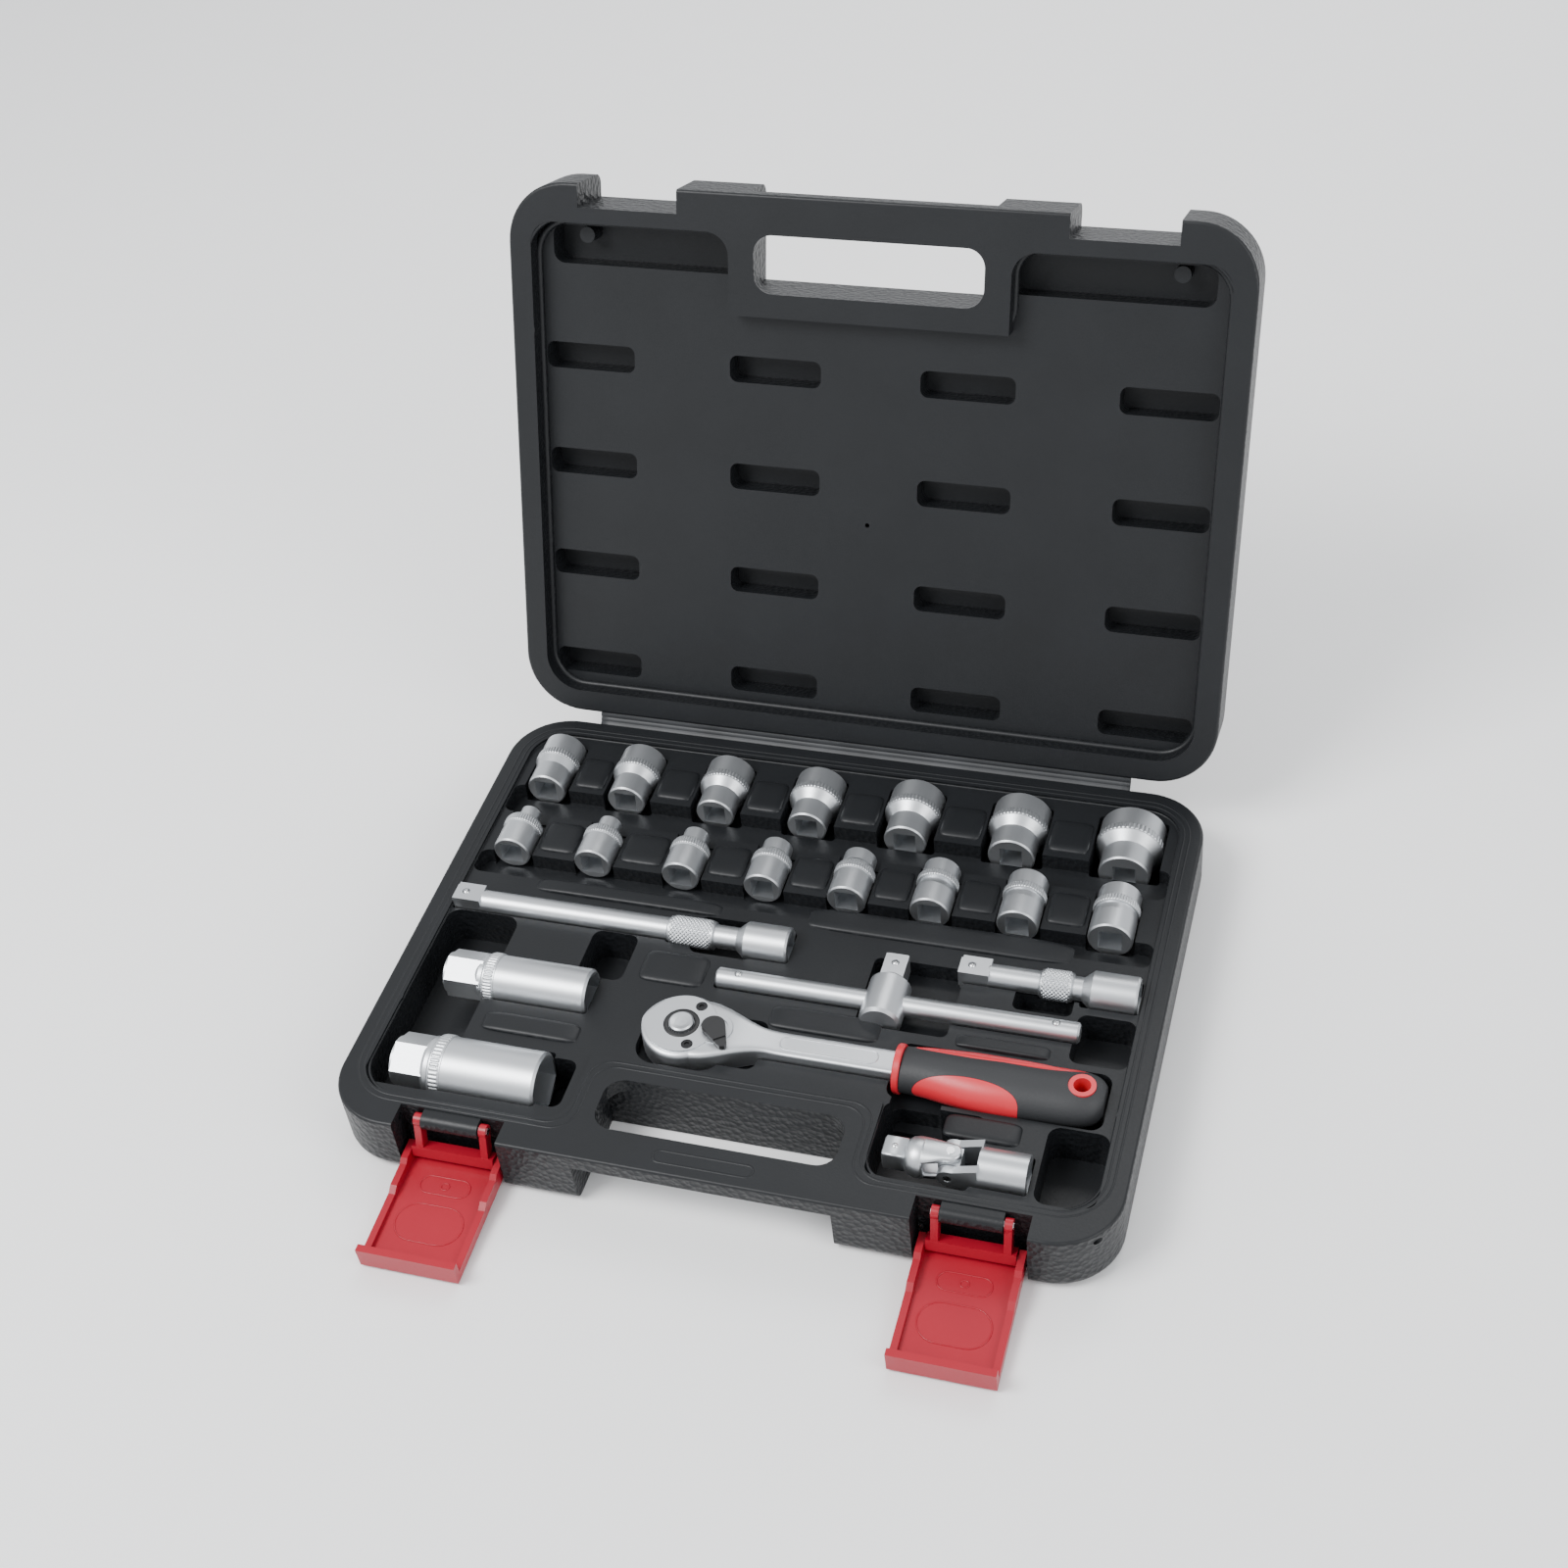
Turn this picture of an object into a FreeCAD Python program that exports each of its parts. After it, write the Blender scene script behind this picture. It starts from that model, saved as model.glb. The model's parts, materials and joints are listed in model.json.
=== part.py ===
import FreeCAD, Part
import math
import os

import Sketcher

# Socket wrench set in a blow-moulded case, all sizes in millimetres.
# +X runs along the hinge, +Y towards the hinge, +Z up; the origin is the centre of the tray's flat bottom.
# The case lies open: lid at its stop, latches hanging forward, every tool seated in its pocket.

doc = FreeCAD.newDocument("socket_set")
sheet = doc.addObject("Spreadsheet::Sheet", "Dims")
V = FreeCAD.Vector


class Dim:
    """A size known both as a number and as a spreadsheet expression."""

    def __init__(self, value, text=None):
        self.value = float(value)
        self.text = text if text is not None else "(%r)" % float(value)

    def _join(self, other, value, sign, swap=False):
        other = as_dim(other)
        first, second = (other, self) if swap else (self, other)
        return Dim(value(first.value, second.value), "(%s %s %s)" % (first.text, sign, second.text))

    def __add__(self, other):
        return self._join(other, lambda a, b: a + b, "+")

    def __radd__(self, other):
        return self._join(other, lambda a, b: a + b, "+", True)

    def __sub__(self, other):
        return self._join(other, lambda a, b: a - b, "-")

    def __rsub__(self, other):
        return self._join(other, lambda a, b: a - b, "-", True)

    def __mul__(self, other):
        return self._join(other, lambda a, b: a * b, "*")

    def __rmul__(self, other):
        return self._join(other, lambda a, b: a * b, "*", True)

    def __truediv__(self, other):
        return self._join(other, lambda a, b: a / b, "/")

    def __neg__(self):
        return self * -1.0


def as_dim(value):
    return value if isinstance(value, Dim) else Dim(value)


def larger(a, b):
    a, b = as_dim(a), as_dim(b)
    return Dim(max(a.value, b.value), "max(%s; %s)" % (a.text, b.text))


def smaller(a, b):
    a, b = as_dim(a), as_dim(b)
    return Dim(min(a.value, b.value), "min(%s; %s)" % (a.text, b.text))


sheet_row = [1]


def size(alias, value, note):
    """Put one driving dimension in the sheet and hand it back."""
    row = sheet_row[0]
    sheet.set("A%d" % row, note)
    sheet.set("B%d" % row, "%r" % float(value))
    sheet.setAlias("B%d" % row, alias)
    sheet_row[0] = row + 1
    return Dim(value, "Dims.%s" % alias)


# ---------------------------------------------------------------- driving dimensions
case_width = size("case_width", 317.0, "case width along the hinge")
case_depth = size("case_depth", 240.0, "case depth, front to hinge edge")
half_height = size("half_height", 28.0, "height of the tray, and of the lid")
corner_radius = size("corner_radius", 26.0, "plan radius of the case corners")
edge_round = size("edge_round", 5.0, "rounding of the outer bottom edges")
rim_round = size("rim_round", 1.2, "rounding of the rim edges")
rim_band = size("rim_band", 10.0, "width of the flat rim")
pad_drop = size("pad_drop", 1.6, "pads sit this far under the rim")
seat_gap = size("seat_gap", 0.3, "space between a tool and its seat")
side_gap = size("side_gap", 0.5, "space beside a tool in its pocket")
close_gap = size("close_gap", 0.3, "space between the two rims when closed")

handle_half = size("handle_half", 49.0, "half length of the hand slot")
handle_bar = size("handle_bar", 16.3, "front-to-back size of the handle bar")
handle_slot = size("handle_slot", 24.4, "front-to-back size of the hand slot")
handle_thick = size("handle_thick", 7.0, "thickness of each half's handle bar")
slot_corner = size("slot_corner", 8.0, "corner radius of the hand slot")

hinge_out = size("hinge_out", 2.5, "hinge line behind the tray's back edge")
hinge_up = size("hinge_up", 1.7, "hinge line above the tray rim")
open_angle = size("open_angle", 109.4, "lid angle when open against its stop")
strip_half = size("strip_half", 123.0, "half length of the moulded hinge strip")
strip_thick = size("strip_thick", 0.9, "thickness of the moulded hinge strip")

panel_drop = size("panel_drop", 9.0, "lid inner panel below the rim plane")
lid_pocket_drop = size("lid_pocket_drop", 12.0, "lid pocket depth below the panel")
lid_pocket_width = size("lid_pocket_width", 40.6, "lid pocket width")
lid_pocket_tall = size("lid_pocket_tall", 11.5, "lid pocket height")
lid_pocket_pitch = size("lid_pocket_pitch", 84.0, "lid pocket column pitch")
lid_row_pitch = size("lid_row_pitch", 47.6, "lid pocket row pitch")
lid_row_start = size("lid_row_start", 21.5, "lowest pocket row from the hinge edge")

latch_x = size("latch_x", 104.5, "latch centre either side of the middle")
latch_width = size("latch_width", 41.0, "latch lever width")
notch_width = size("notch_width", 44.0, "latch notch width")
notch_depth = size("notch_depth", 11.0, "latch notch depth in the tray")
lid_notch_depth = size("lid_notch_depth", 10.0, "latch notch depth in the lid")
latch_pin_r = size("latch_pin_r", 1.5, "latch pin radius")
latch_pin_in = size("latch_pin_in", 8.0, "latch pin behind the tray's front")
latch_pin_drop = size("latch_pin_drop", 4.0, "latch pin below the tray rim")
knuckle_r = size("knuckle_r", 3.5, "tray knuckle radius")
knuckle_width = size("knuckle_width", 24.0, "tray knuckle width")
link_arm = size("link_arm", 15.7, "latch link length, pin to lever axis")
link_angle = size("link_angle", 14.0, "latch link's swing from vertical, hanging")
link_closed = size("link_closed", 4.0, "latch link's swing from vertical, latched")
lever_plate = size("lever_plate", 2.2, "latch lever plate thickness")
lever_offset = size("lever_offset", 3.1, "lever axis to the plate's inner face")
lever_angle = size("lever_angle", 93.0, "lever's turn from latched to hanging")
lever_wall = size("lever_wall", 2.8, "latch lever side wall thickness")
lever_stub_r = size("lever_stub_r", 1.9, "pivot stub radius on the latch link")
run_gap = size("run_gap", 0.06, "radial clearance of turning pins")

drive_square = size("drive_square", 9.5, "male drive square across flats")
drive_hole = size("drive_hole", 9.8, "female drive square across flats")
drive_deep = size("drive_deep", 11.5, "depth of the female drive square")
socket_len_front = size("socket_len_front", 26.0, "length of the smaller sockets")
socket_len_back = size("socket_len_back", 28.0, "length of the larger sockets")
front_row_y = size("front_row_y", 32.3, "drive face of the front row")
back_row_y = size("back_row_y", 74.3, "drive face of the back row")
tool_rise = size("tool_rise", 7.8, "largest rise of a socket above the rim")
edge_bevel = size("edge_bevel", 0.6, "small turned chamfer")
ball_r = size("ball_r", 1.6, "detent ball radius")
ball_show = size("ball_show", 0.6, "how far a detent ball stands out")

rod_r = size("rod_r", 4.3, "sliding T rod radius")
rod_len = size("rod_len", 150.0, "sliding T rod length")
rod_x = size("rod_x", -22.6, "left end of the T rod")
rod_y = size("rod_y", -19.8, "T rod centre line")
slider_r = size("slider_r", 8.7, "T slider radius")
slider_x = size("slider_x", 48.4, "T slider position along the case")

long_ext = size("long_ext", 150.0, "length of the long extension")
short_ext = size("short_ext", 73.0, "length of the short extension")
ext_bar_r = size("ext_bar_r", 4.9, "extension shank radius")
ext_knurl_r = size("ext_knurl_r", 5.9, "extension knurl radius")
ext_socket_r = size("ext_socket_r", 8.2, "extension socket end radius")

head_r = size("head_r", 16.5, "ratchet head radius")
head_x = size("head_x", -27.6, "ratchet head centre")
ratchet_y = size("ratchet_y", -50.6, "ratchet centre line")
ratchet_end = size("ratchet_end", 143.0, "ratchet handle's far end")
head_thick = size("head_thick", 13.0, "ratchet head thickness")
grip_start = size("grip_start", 60.5, "where the ratchet's soft grip starts")

joint_x = size("joint_x", 65.7, "universal joint's drive tip")
joint_y = size("joint_y", -91.0, "universal joint's centre line")
joint_r = size("joint_r", 8.4, "universal joint's body radius")

plug_len = size("plug_len", 63.0, "length of the spark plug sockets")

doc.recompute()

rim_z = half_height
half_w = case_width / 2
half_d = case_depth / 2
front_y = -half_d
ball_sunk = ball_r - ball_show
seat_deep = ball_r + ball_sunk + 0.2


# ---------------------------------------------------------------- helpers
def bind(obj, prop, value):
    """Drive one property from the sheet."""
    obj.setExpression(prop, as_dim(value).text)


def place(obj, x=0, y=0, z=0, axis=None, angle=0):
    """Drive a sub-part's own placement: where it sits and how it is turned."""
    if axis is not None:
        turn = as_dim(angle)
        obj.Placement = FreeCAD.Placement(V(0, 0, 0), FreeCAD.Rotation(axis, turn.value))
        if isinstance(angle, Dim):
            bind(obj, "Placement.Rotation.Angle", angle)
    bind(obj, "Placement.Base.x", x)
    bind(obj, "Placement.Base.y", y)
    bind(obj, "Placement.Base.z", z)


X_AXIS = V(1, 0, 0)
Y_AXIS = V(0, 1, 0)


def body(name):
    made = doc.addObject("PartDesign::Body", name)
    made.Label = name
    return made


def origin_plane(owner, role):
    for feature in owner.Origin.OriginFeatures:
        if feature.Role == role:
            return feature
    raise ValueError("no plane %s" % role)


def sketch(owner, name, role="XY_Plane", lift=0):
    made = owner.newObject("Sketcher::SketchObject", name)
    made.AttachmentSupport = [(origin_plane(owner, role), "")]
    made.MapMode = "FlatFace"
    made.AttachmentOffset = FreeCAD.Placement(V(0, 0, as_dim(lift).value), FreeCAD.Rotation())
    if isinstance(lift, Dim):
        bind(made, "AttachmentOffset.Base.z", lift)
    return made


def hold(made, kind, geometry, point, value):
    """Fix one coordinate of a point from the sketch origin."""
    value = as_dim(value)
    if value.text == "(0.0)":
        axis = -2 if kind == "DistanceX" else -1
        made.addConstraint(Sketcher.Constraint("PointOnObject", geometry, point, axis))
        return
    index = made.addConstraint(Sketcher.Constraint(kind, -1, 1, geometry, point, value.value))
    made.setExpression("Constraints[%d]" % index, value.text)


def polygon(made, points):
    """Closed outline whose every corner is driven from the sheet."""
    points = [(as_dim(x), as_dim(y)) for x, y in points]
    count = len(points)
    for i in range(count):
        a, b = points[i], points[(i + 1) % count]
        made.addGeometry(Part.LineSegment(V(a[0].value, a[1].value, 0), V(b[0].value, b[1].value, 0)))
    for i in range(count):
        made.addConstraint(Sketcher.Constraint("Coincident", i, 2, (i + 1) % count, 1))
    for i in range(count):
        hold(made, "DistanceX", i, 1, points[i][0])
        hold(made, "DistanceY", i, 1, points[i][1])
    return made


def circle(made, x, y, radius):
    """Circle driven from the sheet."""
    x, y, radius = as_dim(x), as_dim(y), as_dim(radius)
    index = made.addGeometry(Part.Circle(V(x.value, y.value, 0), V(0, 0, 1), radius.value))
    hold(made, "DistanceX", index, 3, x)
    hold(made, "DistanceY", index, 3, y)
    held = made.addConstraint(Sketcher.Constraint("Radius", index, radius.value))
    made.setExpression("Constraints[%d]" % held, radius.text)
    return made


def round_rect(made, x0, x1, y0, y1, radius):
    """Rectangle with round corners, all four sides and the radius driven from the sheet."""
    x0, x1, y0, y1, r = [as_dim(v) for v in (x0, x1, y0, y1, radius)]
    centres = [(x1 - r, y1 - r), (x0 + r, y1 - r), (x0 + r, y0 + r), (x1 - r, y0 + r)]
    base = made.GeometryCount
    for quarter, (cx, cy) in enumerate(centres):
        arc = Part.ArcOfCircle(Part.Circle(V(cx.value, cy.value, 0), V(0, 0, 1), r.value),
                               quarter * math.pi / 2, (quarter + 1) * math.pi / 2)
        made.addGeometry(arc)
    for quarter in range(4):
        start = made.getPoint(base + quarter, 2)
        end = made.getPoint(base + (quarter + 1) % 4, 1)
        made.addGeometry(Part.LineSegment(start, end))
    for quarter in range(4):
        line = base + 4 + quarter
        made.addConstraint(Sketcher.Constraint("Tangent", base + quarter, 2, line, 1))
        made.addConstraint(Sketcher.Constraint("Tangent", line, 2, base + (quarter + 1) % 4, 1))
        made.addConstraint(Sketcher.Constraint("Horizontal" if quarter % 2 == 0 else "Vertical", line))
    for quarter in range(4):
        held = made.addConstraint(Sketcher.Constraint("Radius", base + quarter, r.value))
        made.setExpression("Constraints[%d]" % held, r.text)
    hold(made, "DistanceX", base, 3, centres[0][0])
    hold(made, "DistanceY", base, 3, centres[0][1])
    hold(made, "DistanceX", base + 2, 3, centres[2][0])
    hold(made, "DistanceY", base + 2, 3, centres[2][1])
    return made


def pad(owner, name, made, length, reverse=False, middle=False):
    feature = owner.newObject("PartDesign::Pad", name)
    feature.Profile = made
    feature.Length = as_dim(length).value
    bind(feature, "Length", length)
    feature.Reversed = reverse
    feature.Midplane = middle
    return feature


def pocket(owner, name, made, length, reverse=False, middle=False):
    """Cut a sketch to a depth; the cut must take something away."""
    doc.recompute()
    before = owner.Shape.Volume
    feature = owner.newObject("PartDesign::Pocket", name)
    feature.Profile = made
    feature.Length = as_dim(length).value
    bind(feature, "Length", length)
    feature.Reversed = reverse
    feature.Midplane = middle
    feature.Refine = owner.Name not in ("tray_shell", "lid_shell")
    doc.recompute()
    if owner.Shape.Volume > before - 0.01:
        raise ValueError("%s cuts nothing" % name)
    return feature


def revolve(owner, name, made):
    feature = owner.newObject("PartDesign::Revolution", name)
    feature.Profile = made
    feature.ReferenceAxis = (made, ["V_Axis"])
    feature.Angle = 360.0
    return feature


def round_edges(owner, name, radius, wanted):
    """Round the edges that the test picks."""
    doc.recompute()
    tip = owner.Tip
    picked = ["Edge%d" % (i + 1) for i, edge in enumerate(tip.Shape.Edges) if wanted(edge)]
    feature = owner.newObject("PartDesign::Fillet", name)
    feature.Base = (tip, picked)
    feature.Radius = as_dim(radius).value
    bind(feature, "Radius", radius)
    doc.recompute()
    return feature


def level_edge(height):
    """True for edges lying in one horizontal plane."""
    def test(edge):
        box = edge.BoundBox
        return abs(box.ZMin - height) < 1e-4 and abs(box.ZMax - height) < 1e-4
    return test


def square_points(side):
    half = as_dim(side) / 2
    return [(-half, -half), (half, -half), (half, half), (-half, half)]


def hexagon_points(flats):
    corner = as_dim(flats) / math.sqrt(3.0)
    return [(corner * math.cos(math.radians(60 * k)), corner * math.sin(math.radians(60 * k)))
            for k in range(6)]


def turned(name, profile):
    """Body turned about its own Z from (radius, height) points."""
    made = body(name)
    outline = polygon(sketch(made, name + "_profile", "XZ_Plane"), profile)
    revolve(made, name + "_turned", outline)
    return made


def cut_polygon(owner, tag, points, deep, lift=0, reverse=False, role="XY_Plane", middle=False):
    made = polygon(sketch(owner, "%s_%s_sketch" % (owner.Name, tag), role, lift), points)
    return pocket(owner, "%s_%s" % (owner.Name, tag), made, deep, reverse, middle)


def cut_circle(owner, tag, x, y, radius, deep, lift=0, reverse=False, role="XY_Plane", middle=False):
    made = circle(sketch(owner, "%s_%s_sketch" % (owner.Name, tag), role, lift), x, y, radius)
    return pocket(owner, "%s_%s" % (owner.Name, tag), made, deep, reverse, middle)


def cut_rounded(owner, tag, x0, x1, y0, y1, radius, deep, lift, reverse=False):
    made = sketch(owner, "%s_%s_sketch" % (owner.Name, tag), "XY_Plane", lift)
    round_rect(made, x0, x1, y0, y1, radius)
    return pocket(owner, "%s_%s" % (owner.Name, tag), made, deep, reverse)


def add_polygon(owner, tag, points, length, lift=0, reverse=False, role="XY_Plane", middle=False):
    made = polygon(sketch(owner, "%s_%s_sketch" % (owner.Name, tag), role, lift), points)
    return pad(owner, "%s_%s" % (owner.Name, tag), made, length, reverse, middle)


def add_circle(owner, tag, x, y, radius, length, lift=0, reverse=False, role="XY_Plane", middle=False):
    made = circle(sketch(owner, "%s_%s_sketch" % (owner.Name, tag), role, lift), x, y, radius)
    return pad(owner, "%s_%s" % (owner.Name, tag), made, length, reverse, middle)


def rect(x0, x1, y0, y1):
    return [(x0, y0), (x1, y0), (x1, y1), (x0, y1)]


nodes = []


def ball(name, x, y, z, radius=ball_r):
    """Detent ball."""
    made = doc.addObject("Part::Sphere", name)
    made.Label = name
    bind(made, "Radius", radius)
    place(made, x, y, z)
    nodes.append(made)
    return made


# ---------------------------------------------------------------- sockets
# (nominal size, working end diameter, drive end diameter, position along X)
FRONT_ROW = [
    (6, 9.2, 16.6, -134.0),
    (7, 10.4, 16.6, -96.3),
    (8, 11.6, 16.6, -56.0),
    (9, 12.9, 16.6, -19.0),
    (10, 14.2, 16.8, 18.0),
    (11, 15.8, 17.2, 54.0),
    (12, 17.0, 17.6, 91.2),
    (13, 18.0, 18.8, 129.8),
]
BACK_ROW = [
    (14, 19.6, 17.4, -133.5),
    (15, 20.8, 17.2, -95.3),
    (16, 21.8, 17.2, -53.5),
    (17, 23.0, 17.6, -11.2),
    (18, 24.2, 18.8, 33.0),
    (19, 25.4, 20.4, 79.8),
    (22, 28.6, 22.0, 128.3),
]


def socket_outline(end_r, drive_r, total, stepped):
    """Half outline of a socket from its drive face at z = 0 to its working end."""
    band = 0.25
    b = edge_bevel
    if stepped:
        return [(0, 0), (drive_r - b, 0), (drive_r, b), (drive_r, 12.5), (drive_r + band, 12.7),
                (drive_r + band, 17.0), (drive_r, 17.4), (end_r + b, 18.6), (end_r, 19.4),
                (end_r, total - b), (end_r - b, total), (0, total)]
    wide = larger(end_r, drive_r) + band
    return [(0, 0), (drive_r - b, 0), (drive_r, b), (drive_r, 10.4), (end_r, 14.2), (wide, 14.4),
            (wide, 18.4), (end_r, 18.6), (end_r, total - b), (end_r - b, total), (0, total)]


socket_seats = []
for row, (row_y, length) in ((FRONT_ROW, (front_row_y, socket_len_front)),
                             (BACK_ROW, (back_row_y, socket_len_back))):
    for nominal, end_d, drive_d, row_x in row:
        tag = "socket_%02d" % nominal
        flats = size(tag + "_flats", nominal, "hexagon across flats")
        end_r = size(tag + "_end_d", end_d, "working end diameter") / 2
        drive_r = size(tag + "_drive_d", drive_d, "drive end diameter") / 2
        centre_x = size(tag + "_x", row_x, "position along the row")
        doc.recompute()
        piece = turned(tag, socket_outline(end_r, drive_r, length, nominal < 11))
        cut_polygon(piece, "drive", square_points(drive_hole), drive_deep, 0, True)
        cut_polygon(piece, "hexagon", hexagon_points(flats), length - drive_deep - 2, length)
        bore = smaller(flats * 0.44, 4.0)
        cut_circle(piece, "bore", 0, 0, bore, length, length)
        widest = larger(end_r, drive_r) + 0.25
        axis_z = rim_z - larger(widest - tool_rise, 0.9)
        place(piece, centre_x, row_y, axis_z, X_AXIS, -90)
        nodes.append(piece)
        socket_seats.append((tag, centre_x, row_y, axis_z, widest, length))

# ---------------------------------------------------------------- spark plug sockets
plug_seats = []
for nominal, barrel_d, hex_d, left_x, centre_y, deep in ((16, 20.6, 17.4, -134.2, -38.0, 1.6),
                                                        (21, 26.4, 21.0, -138.6, -84.6, 5.2)):
    tag = "plug_socket_%02d" % nominal
    barrel_r = size(tag + "_barrel_d", barrel_d, "barrel diameter") / 2
    hex_flats = size(tag + "_hex_d", hex_d, "outside hexagon across flats")
    start_x = size(tag + "_x", left_x, "drive end position")
    line_y = size(tag + "_y", centre_y, "centre line")
    sink = size(tag + "_sink", deep, "centre line below the rim")
    doc.recompute()
    piece = body(tag)
    add_polygon(piece, "hex_end", hexagon_points(hex_flats), 15.5, 1.0)
    add_circle(piece, "face", 0, 0, hex_flats / 2 - 0.3, 1.2)
    outline = [(0, 14.0), (barrel_r - 1.6, 14.0), (barrel_r - 0.8, 15.4), (barrel_r - 0.8, 17.0),
               (barrel_r, 17.8), (barrel_r + 0.25, 18.0), (barrel_r + 0.25, 23.0), (barrel_r, 23.2),
               (barrel_r, plug_len - 1.0), (barrel_r - 1.0, plug_len), (0, plug_len)]
    made = polygon(sketch(piece, tag + "_profile", "XZ_Plane"), outline)
    revolve(piece, tag + "_turned", made)
    cut_polygon(piece, "drive", square_points(drive_hole), drive_deep, 0, True)
    cut_polygon(piece, "hexagon", hexagon_points(nominal), 14.0, plug_len)
    cut_circle(piece, "chamber", 0, 0, as_dim(nominal) / 2 - 0.2, plug_len - 17.0, plug_len)
    axis_z = rim_z - sink
    place(piece, start_x, line_y, axis_z, Y_AXIS, 90)
    nodes.append(piece)
    sleeve_r = as_dim(nominal) / 2 - 0.3
    sleeve = turned("plug_insert_%02d" % nominal,
                    [(sleeve_r - 1.6, 20.0), (sleeve_r, 20.0), (sleeve_r, 44.0), (sleeve_r - 1.6, 44.0)])
    place(sleeve, start_x, line_y, axis_z, Y_AXIS, 90)
    nodes.append(sleeve)
    plug_seats.append((tag, start_x, line_y, axis_z, barrel_r + 0.25))

# ---------------------------------------------------------------- extensions
ext_seats = []
long_x = size("long_ext_x", -147.6, "left end of the long extension")
long_y = size("long_ext_y", 2.2, "long extension centre line")
short_x = size("short_ext_x", 73.9, "left end of the short extension")
short_y = size("short_ext_y", 3.2, "short extension centre line")
doc.recompute()
for tag, total, left, line_y, knurl_from, knurl_to in (("extension_150", long_ext, long_x, long_y, 53.0, 32.0),
                                                       ("extension_75", short_ext, short_x, short_y, 40.0, 26.0)):
    square_end = drive_square / 2
    piece = turned(tag, [(0, 11.0), (ext_bar_r - 0.6, 11.0), (ext_bar_r, 12.4), (ext_bar_r, total - knurl_from),
                         (ext_knurl_r, total - knurl_from + 0.8), (ext_knurl_r, total - knurl_to - 0.8),
                         (ext_bar_r, total - knurl_to), (ext_bar_r, total - 22.5), (ext_socket_r, total - 18.5),
                         (ext_socket_r, total - 0.8), (ext_socket_r - 0.8, total), (0, total)])
    add_polygon(piece, "square", square_points(drive_square), 12.0, 0.8)
    add_polygon(piece, "tip", square_points(drive_square - 1.4), 1.0)
    cut_polygon(piece, "drive", square_points(drive_hole), drive_deep, total)
    cut_circle(piece, "ball_seat", 0, 5.2, ball_r + 0.05, seat_deep, -square_end, True, "YZ_Plane")
    axis_z = rim_z - 0.6
    place(piece, left, line_y, axis_z, Y_AXIS, 90)
    nodes.append(piece)
    ball(tag + "_ball", left + 5.2, line_y, axis_z + square_end - ball_sunk)
    ext_seats.append((tag, left, line_y, axis_z, total, knurl_from, knurl_to))

# ---------------------------------------------------------------- sliding T bar
rod_z = rim_z - 0.4
rod = turned("t_rod", [(0, 0), (rod_r - 0.8, 0), (rod_r, 0.8), (rod_r, rod_len - 0.8),
                       (rod_r - 0.8, rod_len), (0, rod_len)])
for tag, at in (("left_ball_seat", as_dim(9.5)), ("right_ball_seat", rod_len - 9.5)):
    cut_circle(rod, tag, 0, at, ball_r + 0.05, seat_deep, -rod_r, True, "YZ_Plane")
place(rod, rod_x, rod_y, rod_z, Y_AXIS, 90)
nodes.append(rod)
balls = doc.addObject("Part::Compound", "t_rod_balls")
balls.Label = "t_rod_balls"
for tag, at in (("t_rod_ball_left", as_dim(9.5)), ("t_rod_ball_right", rod_len - 9.5)):
    one = doc.addObject("Part::Sphere", tag)
    bind(one, "Radius", ball_r)
    place(one, at, 0, rod_r - ball_sunk)
    balls.Links = balls.Links + [one]
place(balls, rod_x, rod_y, rod_z)
nodes.append(balls)

slider = turned("t_slider", [(0, 0), (slider_r - 1.2, 0), (slider_r, 1.2), (slider_r, 20.0), (slider_r - 2.6, 22.6),
                             (0, 22.6)])
add_polygon(slider, "square", square_points(drive_square), 11.6, 22.0)
add_polygon(slider, "tip", square_points(drive_square - 1.4), 0.8, 33.6)
cut_circle(slider, "rod_bore", 0, 11.0, rod_r + run_gap, slider_r * 4, 0, False, "YZ_Plane", True)
cut_circle(slider, "ball_seat", 0, 29.0, ball_r + 0.05, seat_deep, drive_square / 2, False, "XZ_Plane")
place(slider, slider_x, rod_y - 11.0, rod_z, X_AXIS, -90)
nodes.append(slider)
ball("t_slider_ball", slider_x, rod_y + 18.0, rod_z + drive_square / 2 - ball_sunk)

# ---------------------------------------------------------------- ratchet
ratchet_z = rim_z - 1.5
half_head = head_thick / 2
grip_from = grip_start - head_x
grip_to = ratchet_end - head_x
lever_off = size("lever_off", 13.6, "reversing lever pivot from the drive centre")
screw_x = size("screw_x", 5.4, "cover screws ahead of the drive centre")
screw_y = size("screw_y", 10.0, "cover screws either side")
cover_r = size("cover_r", 14.4, "cover plate radius")
cover_thick = size("cover_thick", 1.5, "cover plate thickness")
anvil_r = size("anvil_r", 8.0, "drive anvil radius inside the head")
doc.recompute()

head = body("ratchet_body")
add_circle(head, "head", 0, 0, head_r, head_thick, 0, False, "XY_Plane", True)
neck = [(4.0, -head_r + 0.7), (31.0, -6.2), (31.0, 6.2), (4.0, head_r - 0.7)]
add_polygon(head, "neck", neck, head_thick - 1.6, 0, False, "XY_Plane", True)
add_polygon(head, "shank", rect(30.0, grip_from - 0.2, -5.8, 5.8), 8.4, 0, False, "XY_Plane", True)
add_polygon(head, "tang", rect(grip_from - 1, grip_to - 22, -4.0, 4.0), 6.0, 0, False, "XY_Plane", True)
cut_circle(head, "cover_seat", 0, 0, cover_r + 0.1, cover_thick + 0.1, half_head)
cut_circle(head, "lever_seat", lever_off, 0, 7.6, cover_thick + 0.1, half_head)
cut_circle(head, "anvil_bore", 0, 0, anvil_r + run_gap, head_thick, half_head)
cut_circle(head, "pawl_bore", lever_off, 0, 2.0 + run_gap, 6.0, half_head - cover_thick)
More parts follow.
